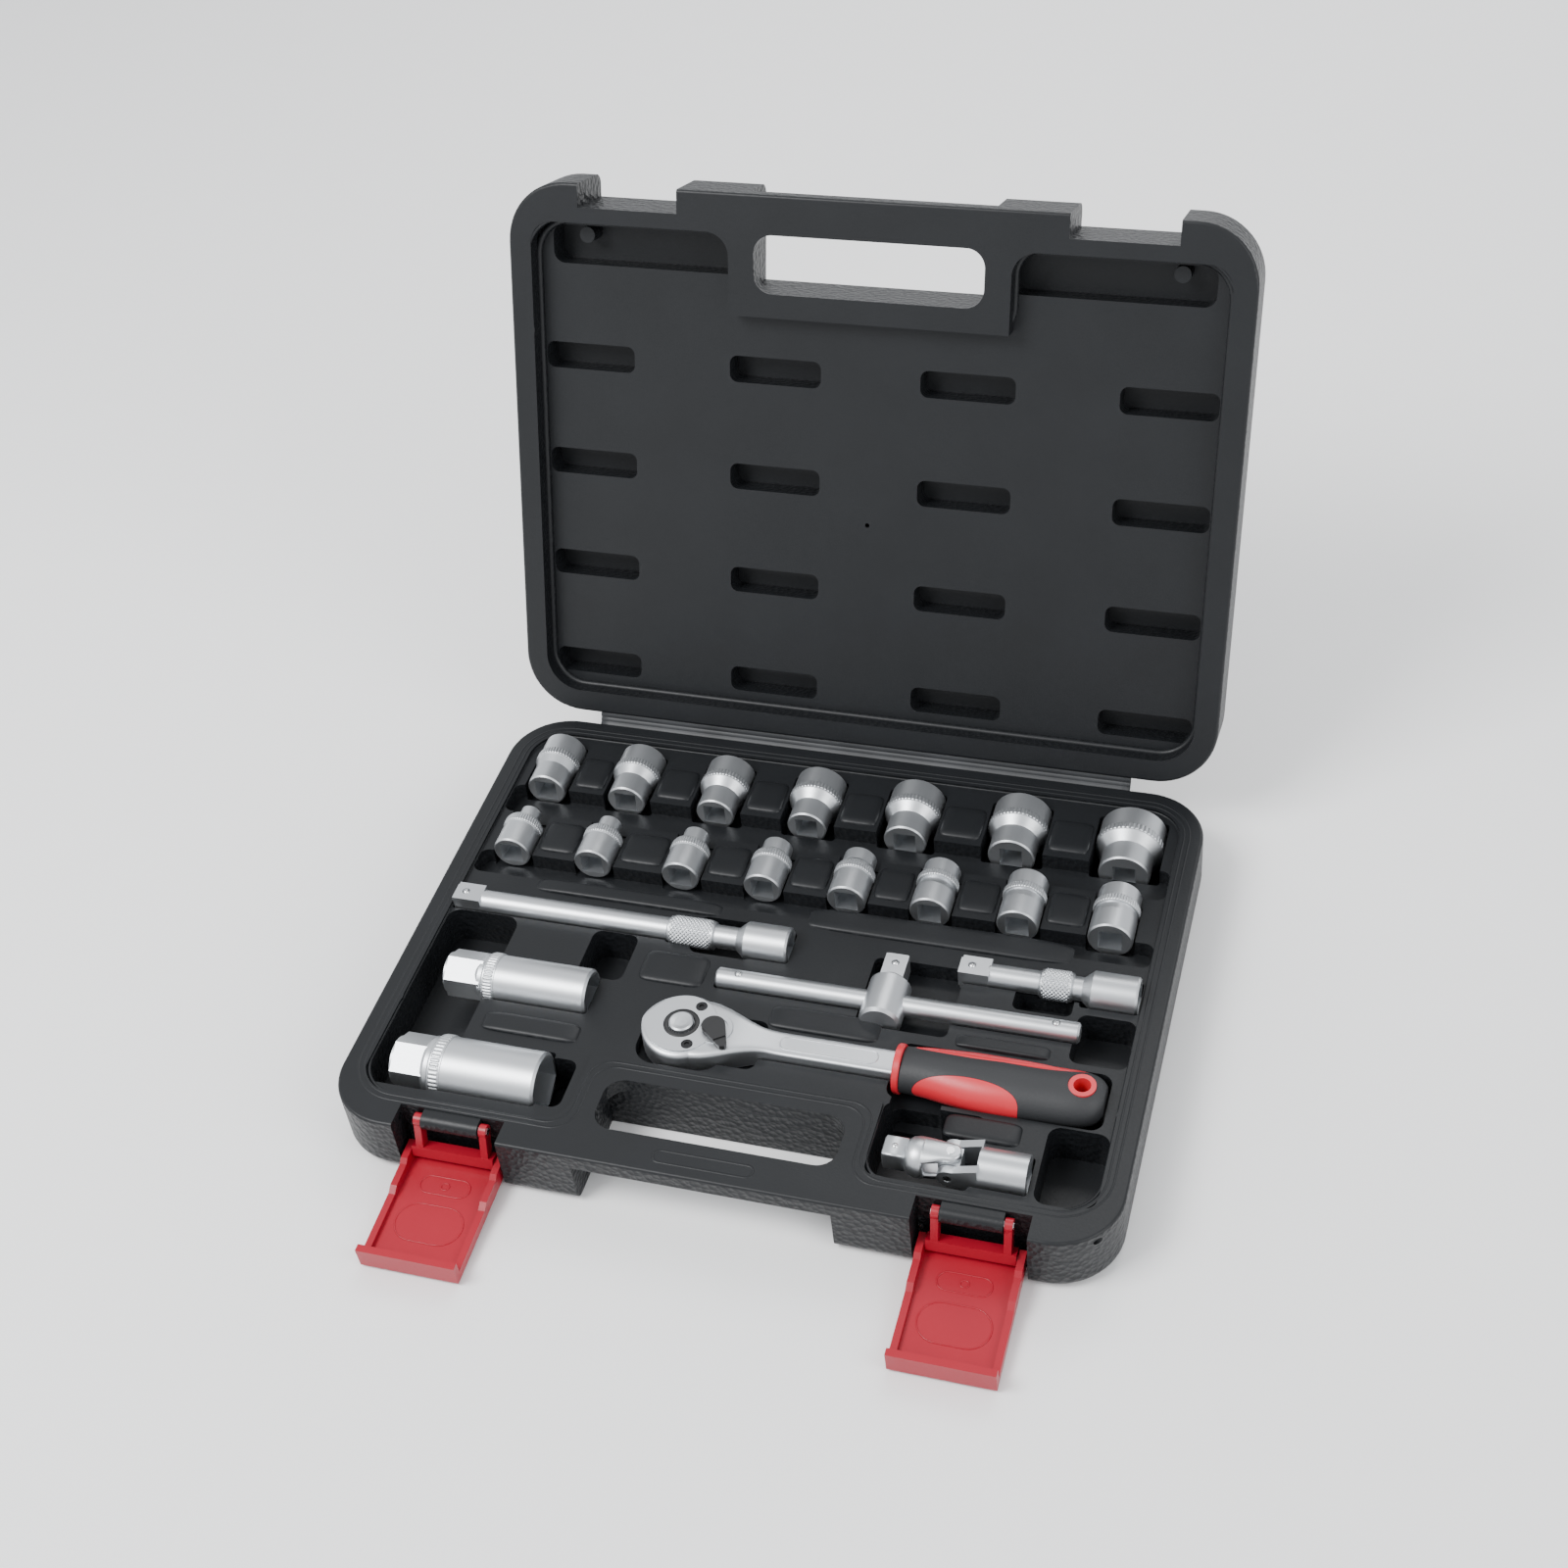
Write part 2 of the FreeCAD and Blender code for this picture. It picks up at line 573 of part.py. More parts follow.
for side in (-1, 1):
    tag = "screw_bore_%d" % (side + 2)
    cut_circle(head, tag, screw_x, screw_y * side, 1.45, 6.0, half_head - cover_thick)
    panel = "panel_%d" % (side + 2)
    cut_polygon(head, panel, rect(38.0, 80.0, -3.6, 3.6), 0.5, half_head * 0 + 4.2 * side, side < 0)
place(head, head_x, ratchet_y, ratchet_z)
nodes.append(head)

cover = body("ratchet_cover")
add_circle(cover, "disc", 0, 0, cover_r, cover_thick, half_head - cover_thick)
add_circle(cover, "lobe", lever_off, 0, 7.5, cover_thick, half_head - cover_thick)
cut_circle(cover, "ring", 0, 0, 7.4, 0.7, half_head)
cut_circle(cover, "button_hole", 0, 0, 5.1, cover_thick, half_head)
cut_circle(cover, "lever_dish", lever_off, 0, 5.8, 0.5, half_head)
cut_circle(cover, "pivot_hole", lever_off, 0, 2.0 + run_gap, cover_thick, half_head)
for side in (-1, 1):
    cut_circle(cover, "screw_hole_%d" % (side + 2), screw_x, screw_y * side, 1.45, cover_thick, half_head)
    cut_circle(cover, "screw_sink_%d" % (side + 2), screw_x, screw_y * side, 2.4, 0.9, half_head)
place(cover, head_x, ratchet_y, ratchet_z)
nodes.append(cover)

screws = doc.addObject("Part::Compound", "ratchet_screws")
screws.Label = "ratchet_screws"
for side in (-1, 1):
    screw = turned("ratchet_screw_%d" % (side + 2),
                   [(0, -5.4), (1.4, -5.4), (1.4, -0.8), (2.3, -0.8), (2.3, -0.25), (2.0, 0.1), (0, 0.1)])
    cut_polygon(screw, "recess", hexagon_points(2.0), 0.6, 0.1)
    place(screw, screw_x, screw_y * side, half_head)
    screws.Links = screws.Links + [screw]
place(screws, head_x, ratchet_y, ratchet_z)
nodes.append(screws)

anvil = turned("ratchet_anvil", [(0, -half_head + 0.2), (anvil_r, -half_head + 0.2), (anvil_r, 2.4), (0, 2.4)])
add_polygon(anvil, "square", square_points(drive_square), 10.6, -half_head + 0.4, True)
add_polygon(anvil, "tip", square_points(drive_square - 1.4), 0.8, -half_head - 10.0, True)
cut_circle(anvil, "stem_bore", 0, 0, 2.28, 15.0, 2.4)
cut_circle(anvil, "ball_seat", 0, -half_head - 5.6, ball_r + 0.05, ball_r + 0.7, drive_square / 2, False, "YZ_Plane")
place(anvil, head_x, ratchet_y, ratchet_z)
nodes.append(anvil)
ball("ratchet_ball", head_x + drive_square / 2 - 0.8, ratchet_y, ratchet_z - half_head - 5.6, ball_r - 0.1)

button = turned("ratchet_button", [(0, -10.0), (2.2, -10.0), (2.2, 5.3), (5.0, 5.3), (5.0, 7.6), (4.4, 8.1),
                                   (2.6, 7.8), (0, 7.7)])
place(button, head_x, ratchet_y, ratchet_z)
nodes.append(button)

flip = body("reversing_lever")
add_circle(flip, "hub", 0, 0, 4.8, 2.3, half_head - 0.2)
flip_arm = [(-1.0, -4.6), (4.6, -3.6), (11.4, -1.3), (12.2, 0.6), (10.6, 2.0), (3.0, 4.2), (-1.0, 4.6)]
add_polygon(flip, "arm", flip_arm, 2.3, half_head + 0.3)
cut_polygon(flip, "slope", rect(7.5, 13.0, -3.0, 3.0), 0.6, half_head + 2.6)
add_circle(flip, "stem", 0, 0, 2.0, 6.5, half_head - 0.1, True)
place(flip, head_x + lever_off, ratchet_y, ratchet_z, V(0, 0, 1), -55)
nodes.append(flip)

# Soft grip: oval sections (distance from the head centre, half width, half thickness, sideways shift)
GRIP = [(0.0, 9.8, 8.2, 0.0), (10.0, 10.4, 8.8, 0.0), (28.0, 12.4, 9.3, -0.8), (48.0, 12.6, 9.3, -1.0),
        (65.0, 12.2, 9.0, -0.8), (75.0, 10.4, 8.0, -0.4), (79.2, 6.0, 5.4, 0.0)]


def oval_loft(name, inset):
    """Solid through oval sections along +X."""
    sections = []
    for index, (along, wide, thick, shift) in enumerate(GRIP):
        oval = doc.addObject("Part::Ellipse", "%s_oval_%d" % (name, index))
        bind(oval, "MajorRadius", as_dim(wide) - inset)
        bind(oval, "MinorRadius", as_dim(thick) - inset)
        turn = FreeCAD.Rotation(V(0, 1, 0), V(0, 0, 1), V(1, 0, 0), "ZXY")
        oval.Placement = FreeCAD.Placement(V(0, 0, 0), turn)
        bind(oval, "Placement.Base.x", grip_from + 3.2 + along)
        bind(oval, "Placement.Base.y", shift)
        sections.append(oval)
    loft = doc.addObject("Part::Loft", name)
    loft.Sections = sections
    loft.Solid = True
    return loft


def ellipsoid(name, x, y, along, across, up):
    made = doc.addObject("Part::Ellipsoid", name)
    bind(made, "Radius1", up)
    bind(made, "Radius2", along)
    bind(made, "Radius3", across)
    place(made, x, y)
    return made


def cut_from(name, base, tool):
    made = doc.addObject("Part::Cut", name)
    made.Base = base
    made.Tool = tool
    return made


def fused(name, shapes):
    made = doc.addObject("Part::MultiFuse", name)
    made.Shapes = shapes
    return made


def cylinder(name, radius, height, x=0, y=0, z=0, axis=None, angle=0):
    made = doc.addObject("Part::Cylinder", name)
    bind(made, "Radius", radius)
    bind(made, "Height", height)
    place(made, x, y, z, axis, angle)
    return made


def box(name, x0, x1, y0, y1, z0, z1):
    made = doc.addObject("Part::Box", name)
    bind(made, "Length", as_dim(x1) - x0)
    bind(made, "Width", as_dim(y1) - y0)
    bind(made, "Height", as_dim(z1) - z0)
    place(made, x0, y0, z0)
    return made


ring_at = grip_to - 9.0
ring_r = size("ring_r", 5.4, "hang hole ring radius")
inlay = size("inlay", 1.6, "thickness of the grip's coloured inlays")
doc.recompute()
tang_hole = box("tang_hole", grip_from - 1, grip_to - 21.7, -4.1, 4.1, -3.1, 3.1)
ring_hole = cylinder("ring_hole", ring_r + 0.1, 30, ring_at, -0.3, -15)
upper = ellipsoid("upper_zone", grip_from + 49.0, 10.6, 27.0, 6.2, 30.0)
lower = ellipsoid("lower_zone", grip_from + 29.0, -12.6, 22.0, 7.4, 30.0)
upper_cut = ellipsoid("upper_cut_zone", grip_from + 49.0, 10.6, 27.1, 6.3, 30.0)
lower_cut = ellipsoid("lower_cut_zone", grip_from + 29.0, -12.6, 22.1, 7.5, 30.0)
skin_zone = cut_from("grip_skin_zone", fused("grip_cut_zones", [upper_cut, lower_cut]), oval_loft("grip_core", inlay))
grip_tools = fused("grip_tools", [tang_hole, ring_hole, skin_zone])
grip = cut_from("ratchet_grip", oval_loft("grip_outer", 0), grip_tools)
grip.Label = "ratchet_grip"
place(grip, head_x, ratchet_y, ratchet_z)
nodes.append(grip)

inlays = doc.addObject("Part::MultiCommon", "inlay_shape")
inlays.Shapes = [oval_loft("inlay_outer", 0.05), fused("inlay_zones", [upper, lower])]
inlays = cut_from("grip_inserts", inlays, oval_loft("inlay_core", inlay - 0.1))
inlays.Label = "grip_inserts"
place(inlays, head_x, ratchet_y, ratchet_z)
nodes.append(inlays)

ring = cut_from("hang_ring", cylinder("hang_ring_outer", ring_r, 17.0, ring_at, -0.3, -8.5),
                cylinder("hang_ring_inner", ring_r - 2.0, 20.0, ring_at, -0.3, -10.0))
ring.Label = "hang_ring"
place(ring, head_x, ratchet_y, ratchet_z)
nodes.append(ring)

collar = turned("ratchet_collar", [(4.9, 0), (9.6, 0), (10.0, 0.5), (10.0, 2.3), (9.6, 2.8), (4.9, 2.8)])
cut_polygon(collar, "bar_way", rect(-3.2, 3.2, -6.2, 6.2), 4.0, 3.4)
place(collar, head_x + grip_from + 0.1, ratchet_y, ratchet_z, Y_AXIS, 90)
nodes.append(collar)

# ---------------------------------------------------------------- universal joint
centre = size("joint_centre", 26.2, "universal joint's cross from its drive tip")
joint_len = size("joint_len", 55.8, "universal joint's length")
ear_in = size("ear_in", 4.5, "inner face of a fork ear from the centre line")
ear_r = size("ear_r", 4.2, "round end of a fork ear")
joint_pin_r = size("joint_pin_r", 1.6, "universal joint pin radius")
doc.recompute()
cross_x = joint_x + centre
joint_z = rim_z - 1.0


def fork(name, base_from, ear_from, role, sign):
    """Two-eared fork about the cross; local origin at the cross, its stem along sign * X."""
    made = body(name)
    lo, hi = (base_from, ear_from) if sign > 0 else (-ear_from, -base_from)
    outline = circle(sketch(made, name + "_stem_sketch", "YZ_Plane", lo), 0, 0, joint_r - 0.4)
    pad(made, name + "_stem", outline, hi - lo)
    s = sign
    ear = [(0, -ear_r), (2.0 * s, -ear_r), ((as_dim(base_from) + 0.5) * s, -joint_r + 1.2),
           ((as_dim(base_from) + 0.5) * s, joint_r - 1.2), (2.0 * s, ear_r), (0, ear_r)]
    add_polygon(made, "ears", ear, ear_in * 2 + 6.6, 0, False, role, True)
    add_circle(made, "ear_ends", 0, 0, ear_r, ear_in * 2 + 6.6, 0, False, role, True)
    gap_role = "XZ_Plane" if role == "XY_Plane" else "XY_Plane"
    slot = rect(-8.0, base_from, -ear_in, ear_in) if s > 0 else rect(-as_dim(base_from), 8.0, -ear_in, ear_in)
    cut_polygon(made, "slot", slot, joint_r * 4, 0, False, gap_role, True)
    cut_circle(made, "pin_bore", 0, 0, joint_pin_r + run_gap, joint_r * 4, 0, False, role, True)
    return made


yoke = fork("joint_yoke", 11.0, joint_len - centre, "XZ_Plane", 1)
cut_polygon(yoke, "drive", square_points(drive_hole), drive_deep, joint_len - centre, False, "YZ_Plane")
place(yoke, cross_x, joint_y, joint_z)
nodes.append(yoke)

swing = fork("joint_fork", 11.0, 17.2, "XY_Plane", -1)
add_polygon(swing, "square", square_points(drive_square), 9.4, -17.0, True, "YZ_Plane")
cut_circle(swing, "ball_seat", -21.6, 0, ball_r + 0.05, seat_deep, drive_square / 2)
place(swing, cross_x, joint_y, joint_z)
nodes.append(swing)
ball("joint_ball", cross_x - 21.6, joint_y, joint_z + drive_square / 2 - ball_sunk)

block = body("joint_block")
half_block = ear_in - 0.3
add_polygon(block, "cube", rect(-half_block, half_block, -half_block, half_block), half_block * 2, 0, False,
            "XY_Plane", True)
cut_circle(block, "upright_bore", 0, 0, joint_pin_r + 0.01, 20, 0, False, "XY_Plane", True)
cut_circle(block, "cross_bore", 0, 0, joint_pin_r + 0.01, 20, 0, False, "XZ_Plane", True)
place(block, cross_x, joint_y, joint_z)
nodes.append(block)

pins = doc.addObject("Part::Compound", "joint_pins")
pins.Label = "joint_pins"
pin_long = cylinder("joint_pin_upright", joint_pin_r, ear_in * 2 + 6.4, 0, 0, -ear_in - 3.2)
pin_front = cylinder("joint_pin_front", joint_pin_r, ear_in + 1.3, 0, -ear_in - 3.2, 0, X_AXIS, -90)
pin_back = cylinder("joint_pin_back", joint_pin_r, ear_in + 1.3, 0, ear_in + 3.2, 0, X_AXIS, 90)
pins.Links = [pin_long, pin_front, pin_back]
place(pins, cross_x, joint_y, joint_z)
nodes.append(pins)

# ---------------------------------------------------------------- tray
tray = body("tray_shell")
outline = round_rect(sketch(tray, "tray_outline"), -half_w, half_w, -half_d, half_d, corner_radius)
pad(tray, "tray_block", outline, half_height)
round_edges(tray, "tray_bottom_round", edge_round, level_edge(0.0))
round_edges(tray, "tray_rim_round", rim_round, level_edge(rim_z.value))

hand_front = front_y + handle_bar
hand_back = hand_front + handle_slot
dish_side = half_w - rim_band
dish_front = front_y + notch_depth + 5.5
dish_waist = hand_back + rim_band
dish_corner = corner_radius - rim_band
wing = handle_half + rim_band + 1.0
over = rim_z + 1.0


def tray_cut(tag, x0, x1, y0, y1, floor, radius=3.0):
    """Rounded pocket from above the rim down to a floor height."""
    return cut_rounded(tray, tag, x0, x1, y0, y1, radius, over - floor, over)


tray_cut("dish", -dish_side, dish_side, dish_waist, half_d - rim_band, rim_z - pad_drop, dish_corner)
tray_cut("dish_left", -dish_side, -wing, dish_front, dish_waist + 20, rim_z - pad_drop, 10.0)
tray_cut("dish_right", wing, dish_side, dish_front, dish_waist + 20, rim_z - pad_drop, 10.0)
tray_cut("hand_slot", -handle_half, handle_half, hand_front, hand_back, -1.0, slot_corner)
cut_polygon(tray, "under_bar", rect(-handle_half - 3, handle_half + 3, front_y - 1, hand_back),
            rim_z - handle_thick, 0, True)
for side, tag in ((-1, "left"), (1, "right")):
    mid = latch_x * side
    notch = rect(mid - notch_width / 2, mid + notch_width / 2, front_y - 1, front_y + notch_depth)
    cut_polygon(tray, "notch_" + tag, notch, half_height + 2, half_height + 1)

row_floor = rim_z - 9.0
tray_cut("front_trough", -dish_side + 0.3, dish_side - 0.3, 20.0, front_row_y + 1, row_floor, 4.0)
tray_cut("back_trough", -dish_side + 0.3, dish_side - 0.3, front_row_y + socket_len_front, back_row_y + 1, row_floor, 4.0)
for tag, centre_x, row_y, axis_z, widest, length in socket_seats:
    room = widest + side_gap
    tray_cut("seat_" + tag, centre_x - room, centre_x + room, row_y - 0.8, row_y + length + 0.8,
             axis_z - widest - seat_gap, 1.5)
for tag, start_x, line_y, axis_z, widest in plug_seats:
    room = widest + side_gap
    tray_cut("seat_" + tag, start_x - 0.8, start_x + plug_len + 0.8, line_y - room, line_y + room,
             axis_z - widest - seat_gap, 1.5)
for tag, left, line_y, axis_z, total, knurl_from, knurl_to in ext_seats:
    shank = ext_bar_r + side_gap
    wide = ext_socket_r + side_gap
    tray_cut("seat_" + tag, left - 0.6, left + total + 0.6, line_y - shank, line_y + shank,
             axis_z - ext_bar_r - seat_gap, 1.5)
    tray_cut("knurl_" + tag, left + total - knurl_from - 0.6, left + total + 0.6, line_y - ext_knurl_r - side_gap,
             line_y + ext_knurl_r + side_gap, axis_z - ext_knurl_r - seat_gap, 1.5)
    tray_cut("end_" + tag, left + total - 23.0, left + total + 0.6, line_y - wide, line_y + wide,
             axis_z - ext_socket_r - seat_gap, 1.5)
rod_room = rod_r + side_gap
tray_cut("seat_rod", rod_x - 0.8, rod_x + rod_len + 0.8, rod_y - rod_room, rod_y + rod_room,
         rod_z - rod_r - seat_gap, 1.5)
slider_run = size("slider_run", 18.0, "run of the T slider in its pocket")
tray_cut("seat_slider", slider_x - slider_r - 1.5, slider_x + slider_r + slider_run + 1.0, rod_y - 12.0,
         rod_y + 24.6, rod_z - slider_r - seat_gap, 3.0)
tray_cut("seat_head", head_x - head_r - 0.7, head_x + 19.0, ratchet_y - head_r - 0.7, ratchet_y + head_r + 0.7,
         ratchet_z - half_head - seat_gap, 9.0)
cut_circle(tray, "anvil_well", head_x, ratchet_y, 9.6, over - ratchet_z + half_head + 11.8, over)
tray_cut("seat_neck", head_x + 12.0, head_x + 33.0, ratchet_y - 12.6, ratchet_y + 12.6,
         ratchet_z - half_head + 0.8 - seat_gap, 4.0)
tray_cut("seat_shank", head_x + 28.0, grip_start + 1, ratchet_y - 6.5, ratchet_y + 6.5, ratchet_z - 4.5, 1.5)
tray_cut("seat_grip", grip_start - 1.5, ratchet_end + 0.9, ratchet_y - 14.4, ratchet_y + 13.4,
         ratchet_z - 9.3 - 1.0, 5.0)
tray_cut("seat_yoke", cross_x - 8, joint_x + joint_len + 0.9, joint_y - joint_r - 0.6, joint_y + joint_r + 0.6,
         joint_z - joint_r - seat_gap, 1.5)
tray_cut("seat_fork", wing + 0.4, cross_x + 8.6, dish_front + 0.3, joint_y + 24.0, 6.0, 4.0)
tray_cut("room_left", -dish_side + 0.3, -116.0, -99.5, -3.4, 8.0, 6.0)
tray_cut("room_plug", -82.0, -62.0, -29.0, -3.4, 10.0, 4.0)
tray_cut("room_plug_end", -77.0, -64.5, -97.0, -73.0, 7.0, 4.0)
tray_cut("room_knurl", -40.0, -12.0, -7.5, 13.0, 12.0, 4.0)
tray_cut("room_right", 124.5, dish_side - 0.3, dish_front + 1.5, -66.0, 8.0, 5.0)
tray_cut("room_grip", 62.0, 82.0, -72.0, -62.0, 8.0, 3.0)
tray_cut("room_rod_end", 125.0, dish_side - 0.3, -34.0, -9.0, 12.0, 4.0)
tray_cut("room_short", 98.0, 122.0, -11.5, 0.0, 14.0, 3.0)
cut_circle(tray, "vent", 36.8, 17.0, 1.0, 8.0, over)

pin_y = front_y + latch_pin_in
pin_z = rim_z - latch_pin_drop
for side, tag in ((-1, "left"), (1, "right")):
    mid = latch_x * side
    web = rect(pin_y, front_y + notch_depth + 0.5, pin_z - knuckle_r, pin_z + knuckle_r)
    add_polygon(tray, "web_" + tag, web, knuckle_width, mid - knuckle_width / 2, False, "YZ_Plane")
    add_circle(tray, "knuckle_" + tag, pin_y, pin_z, knuckle_r, knuckle_width, mid - knuckle_width / 2, False,
               "YZ_Plane")
cut_circle(tray, "pin_bores", pin_y, pin_z, latch_pin_r + 0.01, case_width + 10, 0, False, "YZ_Plane", True)
place(tray)
nodes.append(tray)

# ---------------------------------------------------------------- lid, drawn shut about the hinge line
hinge_y = half_d + hinge_out
hinge_z = rim_z + hinge_up
back = half_d - hinge_y
front = -half_d - hinge_y
low = rim_z + close_gap - hinge_z
high = low + half_height
middle_y = -hinge_y
lid = body("lid_shell")
outline = round_rect(sketch(lid, "lid_outline", "XY_Plane", low), -half_w, half_w, front, back, corner_radius)
pad(lid, "lid_block", outline, half_height)
round_edges(lid, "lid_top_round", edge_round, level_edge(high.value))
round_edges(lid, "lid_rim_round", rim_round, level_edge(low.value))


def lid_cut(tag, x0, x1, y0, y1, deep, start=low, radius=3.0):
    """Rounded pocket from the rim plane (or a deeper start) up into the lid."""
    return cut_rounded(lid, tag, x0, x1, middle_y + y0, middle_y + y1, radius, deep, start, True)


lid_cut("recess", -dish_side, dish_side, dish_waist, half_d - rim_band, panel_drop + 1, low - 1, dish_corner)
lid_cut("recess_left", -dish_side, -wing, dish_front, dish_waist + 20, panel_drop + 1, low - 1, 10.0)
lid_cut("recess_right", wing, dish_side, dish_front, dish_waist + 20, panel_drop + 1, low - 1, 10.0)
lid_cut("hand_slot", -handle_half, handle_half, hand_front, hand_back, half_height + 2, low - 1, slot_corner)
cut_polygon(lid, "over_bar", rect(-handle_half - 3, handle_half + 3, front - 1, middle_y + hand_back),
            half_height, low + handle_thick, True)
for side, tag in ((-1, "left"), (1, "right")):
    mid = latch_x * side
    notch = rect(mid - notch_width / 2, mid + notch_width / 2, front - 1, front + lid_notch_depth)
    cut_polygon(lid, "notch_" + tag, notch, half_height + 2, low - 1, True)
    inner, outer = (58.5, 141.5) if side > 0 else (-141.5, -58.5)
    lid_cut("long_pocket_" + tag, inner, outer, dish_front + 2.5, dish_front + 19.0, lid_pocket_drop,
            low + panel_drop, 5.0)
    add_circle(lid, "boss_" + tag, 127.0 * side, middle_y + dish_front + 7.0, 3.4, lid_pocket_drop - 2,
               low + panel_drop + lid_pocket_drop + 0.5, True)
for column in range(4):
    for row in range(4):
        mid = lid_pocket_pitch * (column - 1.5)
        level = half_d - lid_row_start - lid_row_pitch * row
        half_pocket = lid_pocket_tall / 2
        lid_cut("pocket_%d_%d" % (column + 1, row + 1), mid - lid_pocket_width / 2, mid + lid_pocket_width / 2,
                level - half_pocket, level + half_pocket, lid_pocket_drop, low + panel_drop, 3.5)
cut_circle(lid, "vent", 0, middle_y + 20.0, 1.0, 8.0, low - 1 + panel_drop, True)
cut_rounded(lid, "outer_panel", -100.0, 100.0, middle_y - 50.0, middle_y + 75.0, 12.0, 1.0, high)
place(lid, 0, hinge_y, hinge_z, X_AXIS, -open_angle)
nodes.append(lid)

strip = body("hinge_strip")
strip_shape = [(0, 0), (strip_thick + 0.2, -0.4), (strip_thick + 3.4, 5.0), (3.1, 5.6)]
strip_lines = [(half_d + 0.3 + as_dim(y), rim_z - 1.9 + as_dim(z)) for y, z in strip_shape]
add_polygon(strip, "band", strip_lines, strip_half * 2, 0, False, "YZ_Plane", True)
place(strip)
nodes.append(strip)

# ---------------------------------------------------------------- latches
latch_pins = doc.addObject("Part::Compound", "latch_pins")
latch_pins.Label = "latch_pins"
arm_in = knuckle_width / 2 + 0.4
arm_out = arm_in + 3.0
for side, tag in ((-1, "left"), (1, "right")):
    pin = cylinder("latch_pin_" + tag, latch_pin_r, arm_out * 2 + 0.6, latch_x * side - arm_out - 0.3, pin_y, pin_z,
                   Y_AXIS, 90)
    latch_pins.Links = latch_pins.Links + [pin]
nodes.append(latch_pins)

stub_to = latch_width / 2 - 0.2
bar_to = latch_width / 2 - lever_wall - 0.4
lip_in = half_height * 2 + close_gap * 2 - pin_z + link_arm * math.cos(math.radians(link_closed.value))
for side, tag in ((-1, "left"), (1, "right")):
    mid = latch_x * side
    link = body("latch_link_" + tag)
    arm = rect(-2.2, 2.2, -link_arm, 0)
    for hand, start in ((1, -arm_out), (2, arm_in)):
        add_polygon(link, "arm_%d" % hand, arm, arm_out - arm_in, start, False, "YZ_Plane")
        add_circle(link, "eye_%d" % hand, 0, 0, 2.7, arm_out - arm_in, start, False, "YZ_Plane")
    bar = [(-2.5, 3.6), (-2.5, -1.1), (-1.1, -2.5), (1.1, -2.5), (2.5, -1.1), (2.5, 3.6)]
    bar_lines = [(across, as_dim(up) - link_arm) for across, up in bar]
    add_polygon(link, "bar", bar_lines, bar_to * 2, 0, False, "YZ_Plane", True)
    add_circle(link, "stubs", 0, -link_arm, lever_stub_r, stub_to * 2, 0, False, "YZ_Plane", True)
    cut_circle(link, "pin_bore", 0, 0, latch_pin_r + run_gap, 60, 0, False, "YZ_Plane", True)
    place(link, mid, pin_y, pin_z, X_AXIS, -link_angle)
    nodes.append(link)

    lever = body("latch_lever_" + tag)
    outer = -lever_offset - lever_plate
    half = latch_width / 2
    plate = rect(-half, half, outer, -lever_offset)
    add_polygon(lever, "plate", plate, lip_in + 3.0 + 4.6, -4.6)
    low_wall = [(outer + 0.1, -4.6), (2.2, -3.0), (2.2, 6.0), (0.6, 8.0), (0.6, 18.0), (-1.2, 21.0),
                (-1.2, lip_in + 1.0), (outer + 0.1, lip_in + 1.0)]
    for hand, start in ((1, -half), (2, half - lever_wall)):
        add_polygon(lever, "wall_%d" % hand, low_wall, lever_wall, start, False, "YZ_Plane")
    lip = rect(outer, 4.6, lip_in, lip_in + 3.0)
    add_polygon(lever, "lip", lip, latch_width, 0, False, "YZ_Plane", True)
    grip_tab = [(outer, -4.6), (-lever_offset, -4.6), (-lever_offset - 0.4, -5.2), (outer, -5.2)]
    add_polygon(lever, "finger_tab", grip_tab, latch_width, 0, False, "YZ_Plane", True)
    cut_circle(lever, "stub_bore", 0, 0, lever_stub_r + run_gap, 60, 0, False, "YZ_Plane", True)
    swing_y = pin_y - link_arm * math.sin(math.radians(link_angle.value))
    swing_z = pin_z - link_arm * math.cos(math.radians(link_angle.value))
    place(lever, mid, swing_y, swing_z, X_AXIS, lever_angle)
    nodes.append(lever)

# ---------------------------------------------------------------- finish
doc.recompute()
for thing in doc.Objects:
    if "Invalid" in thing.State or "Error" in thing.State:
        raise ValueError("%s did not build" % thing.Name)
os.makedirs("parts", exist_ok=True)
for node in nodes:
    if node.Shape.isNull() or not node.Shape.isValid() or not node.Shape.Solids:
        raise ValueError("%s is not a sound solid" % node.Label)
    node.Shape.exportStep("parts/%s.step" % node.Label)
print(len(nodes), "parts written")
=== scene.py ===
import json
import math

import bpy
import numpy as np
from mathutils import Matrix, Vector


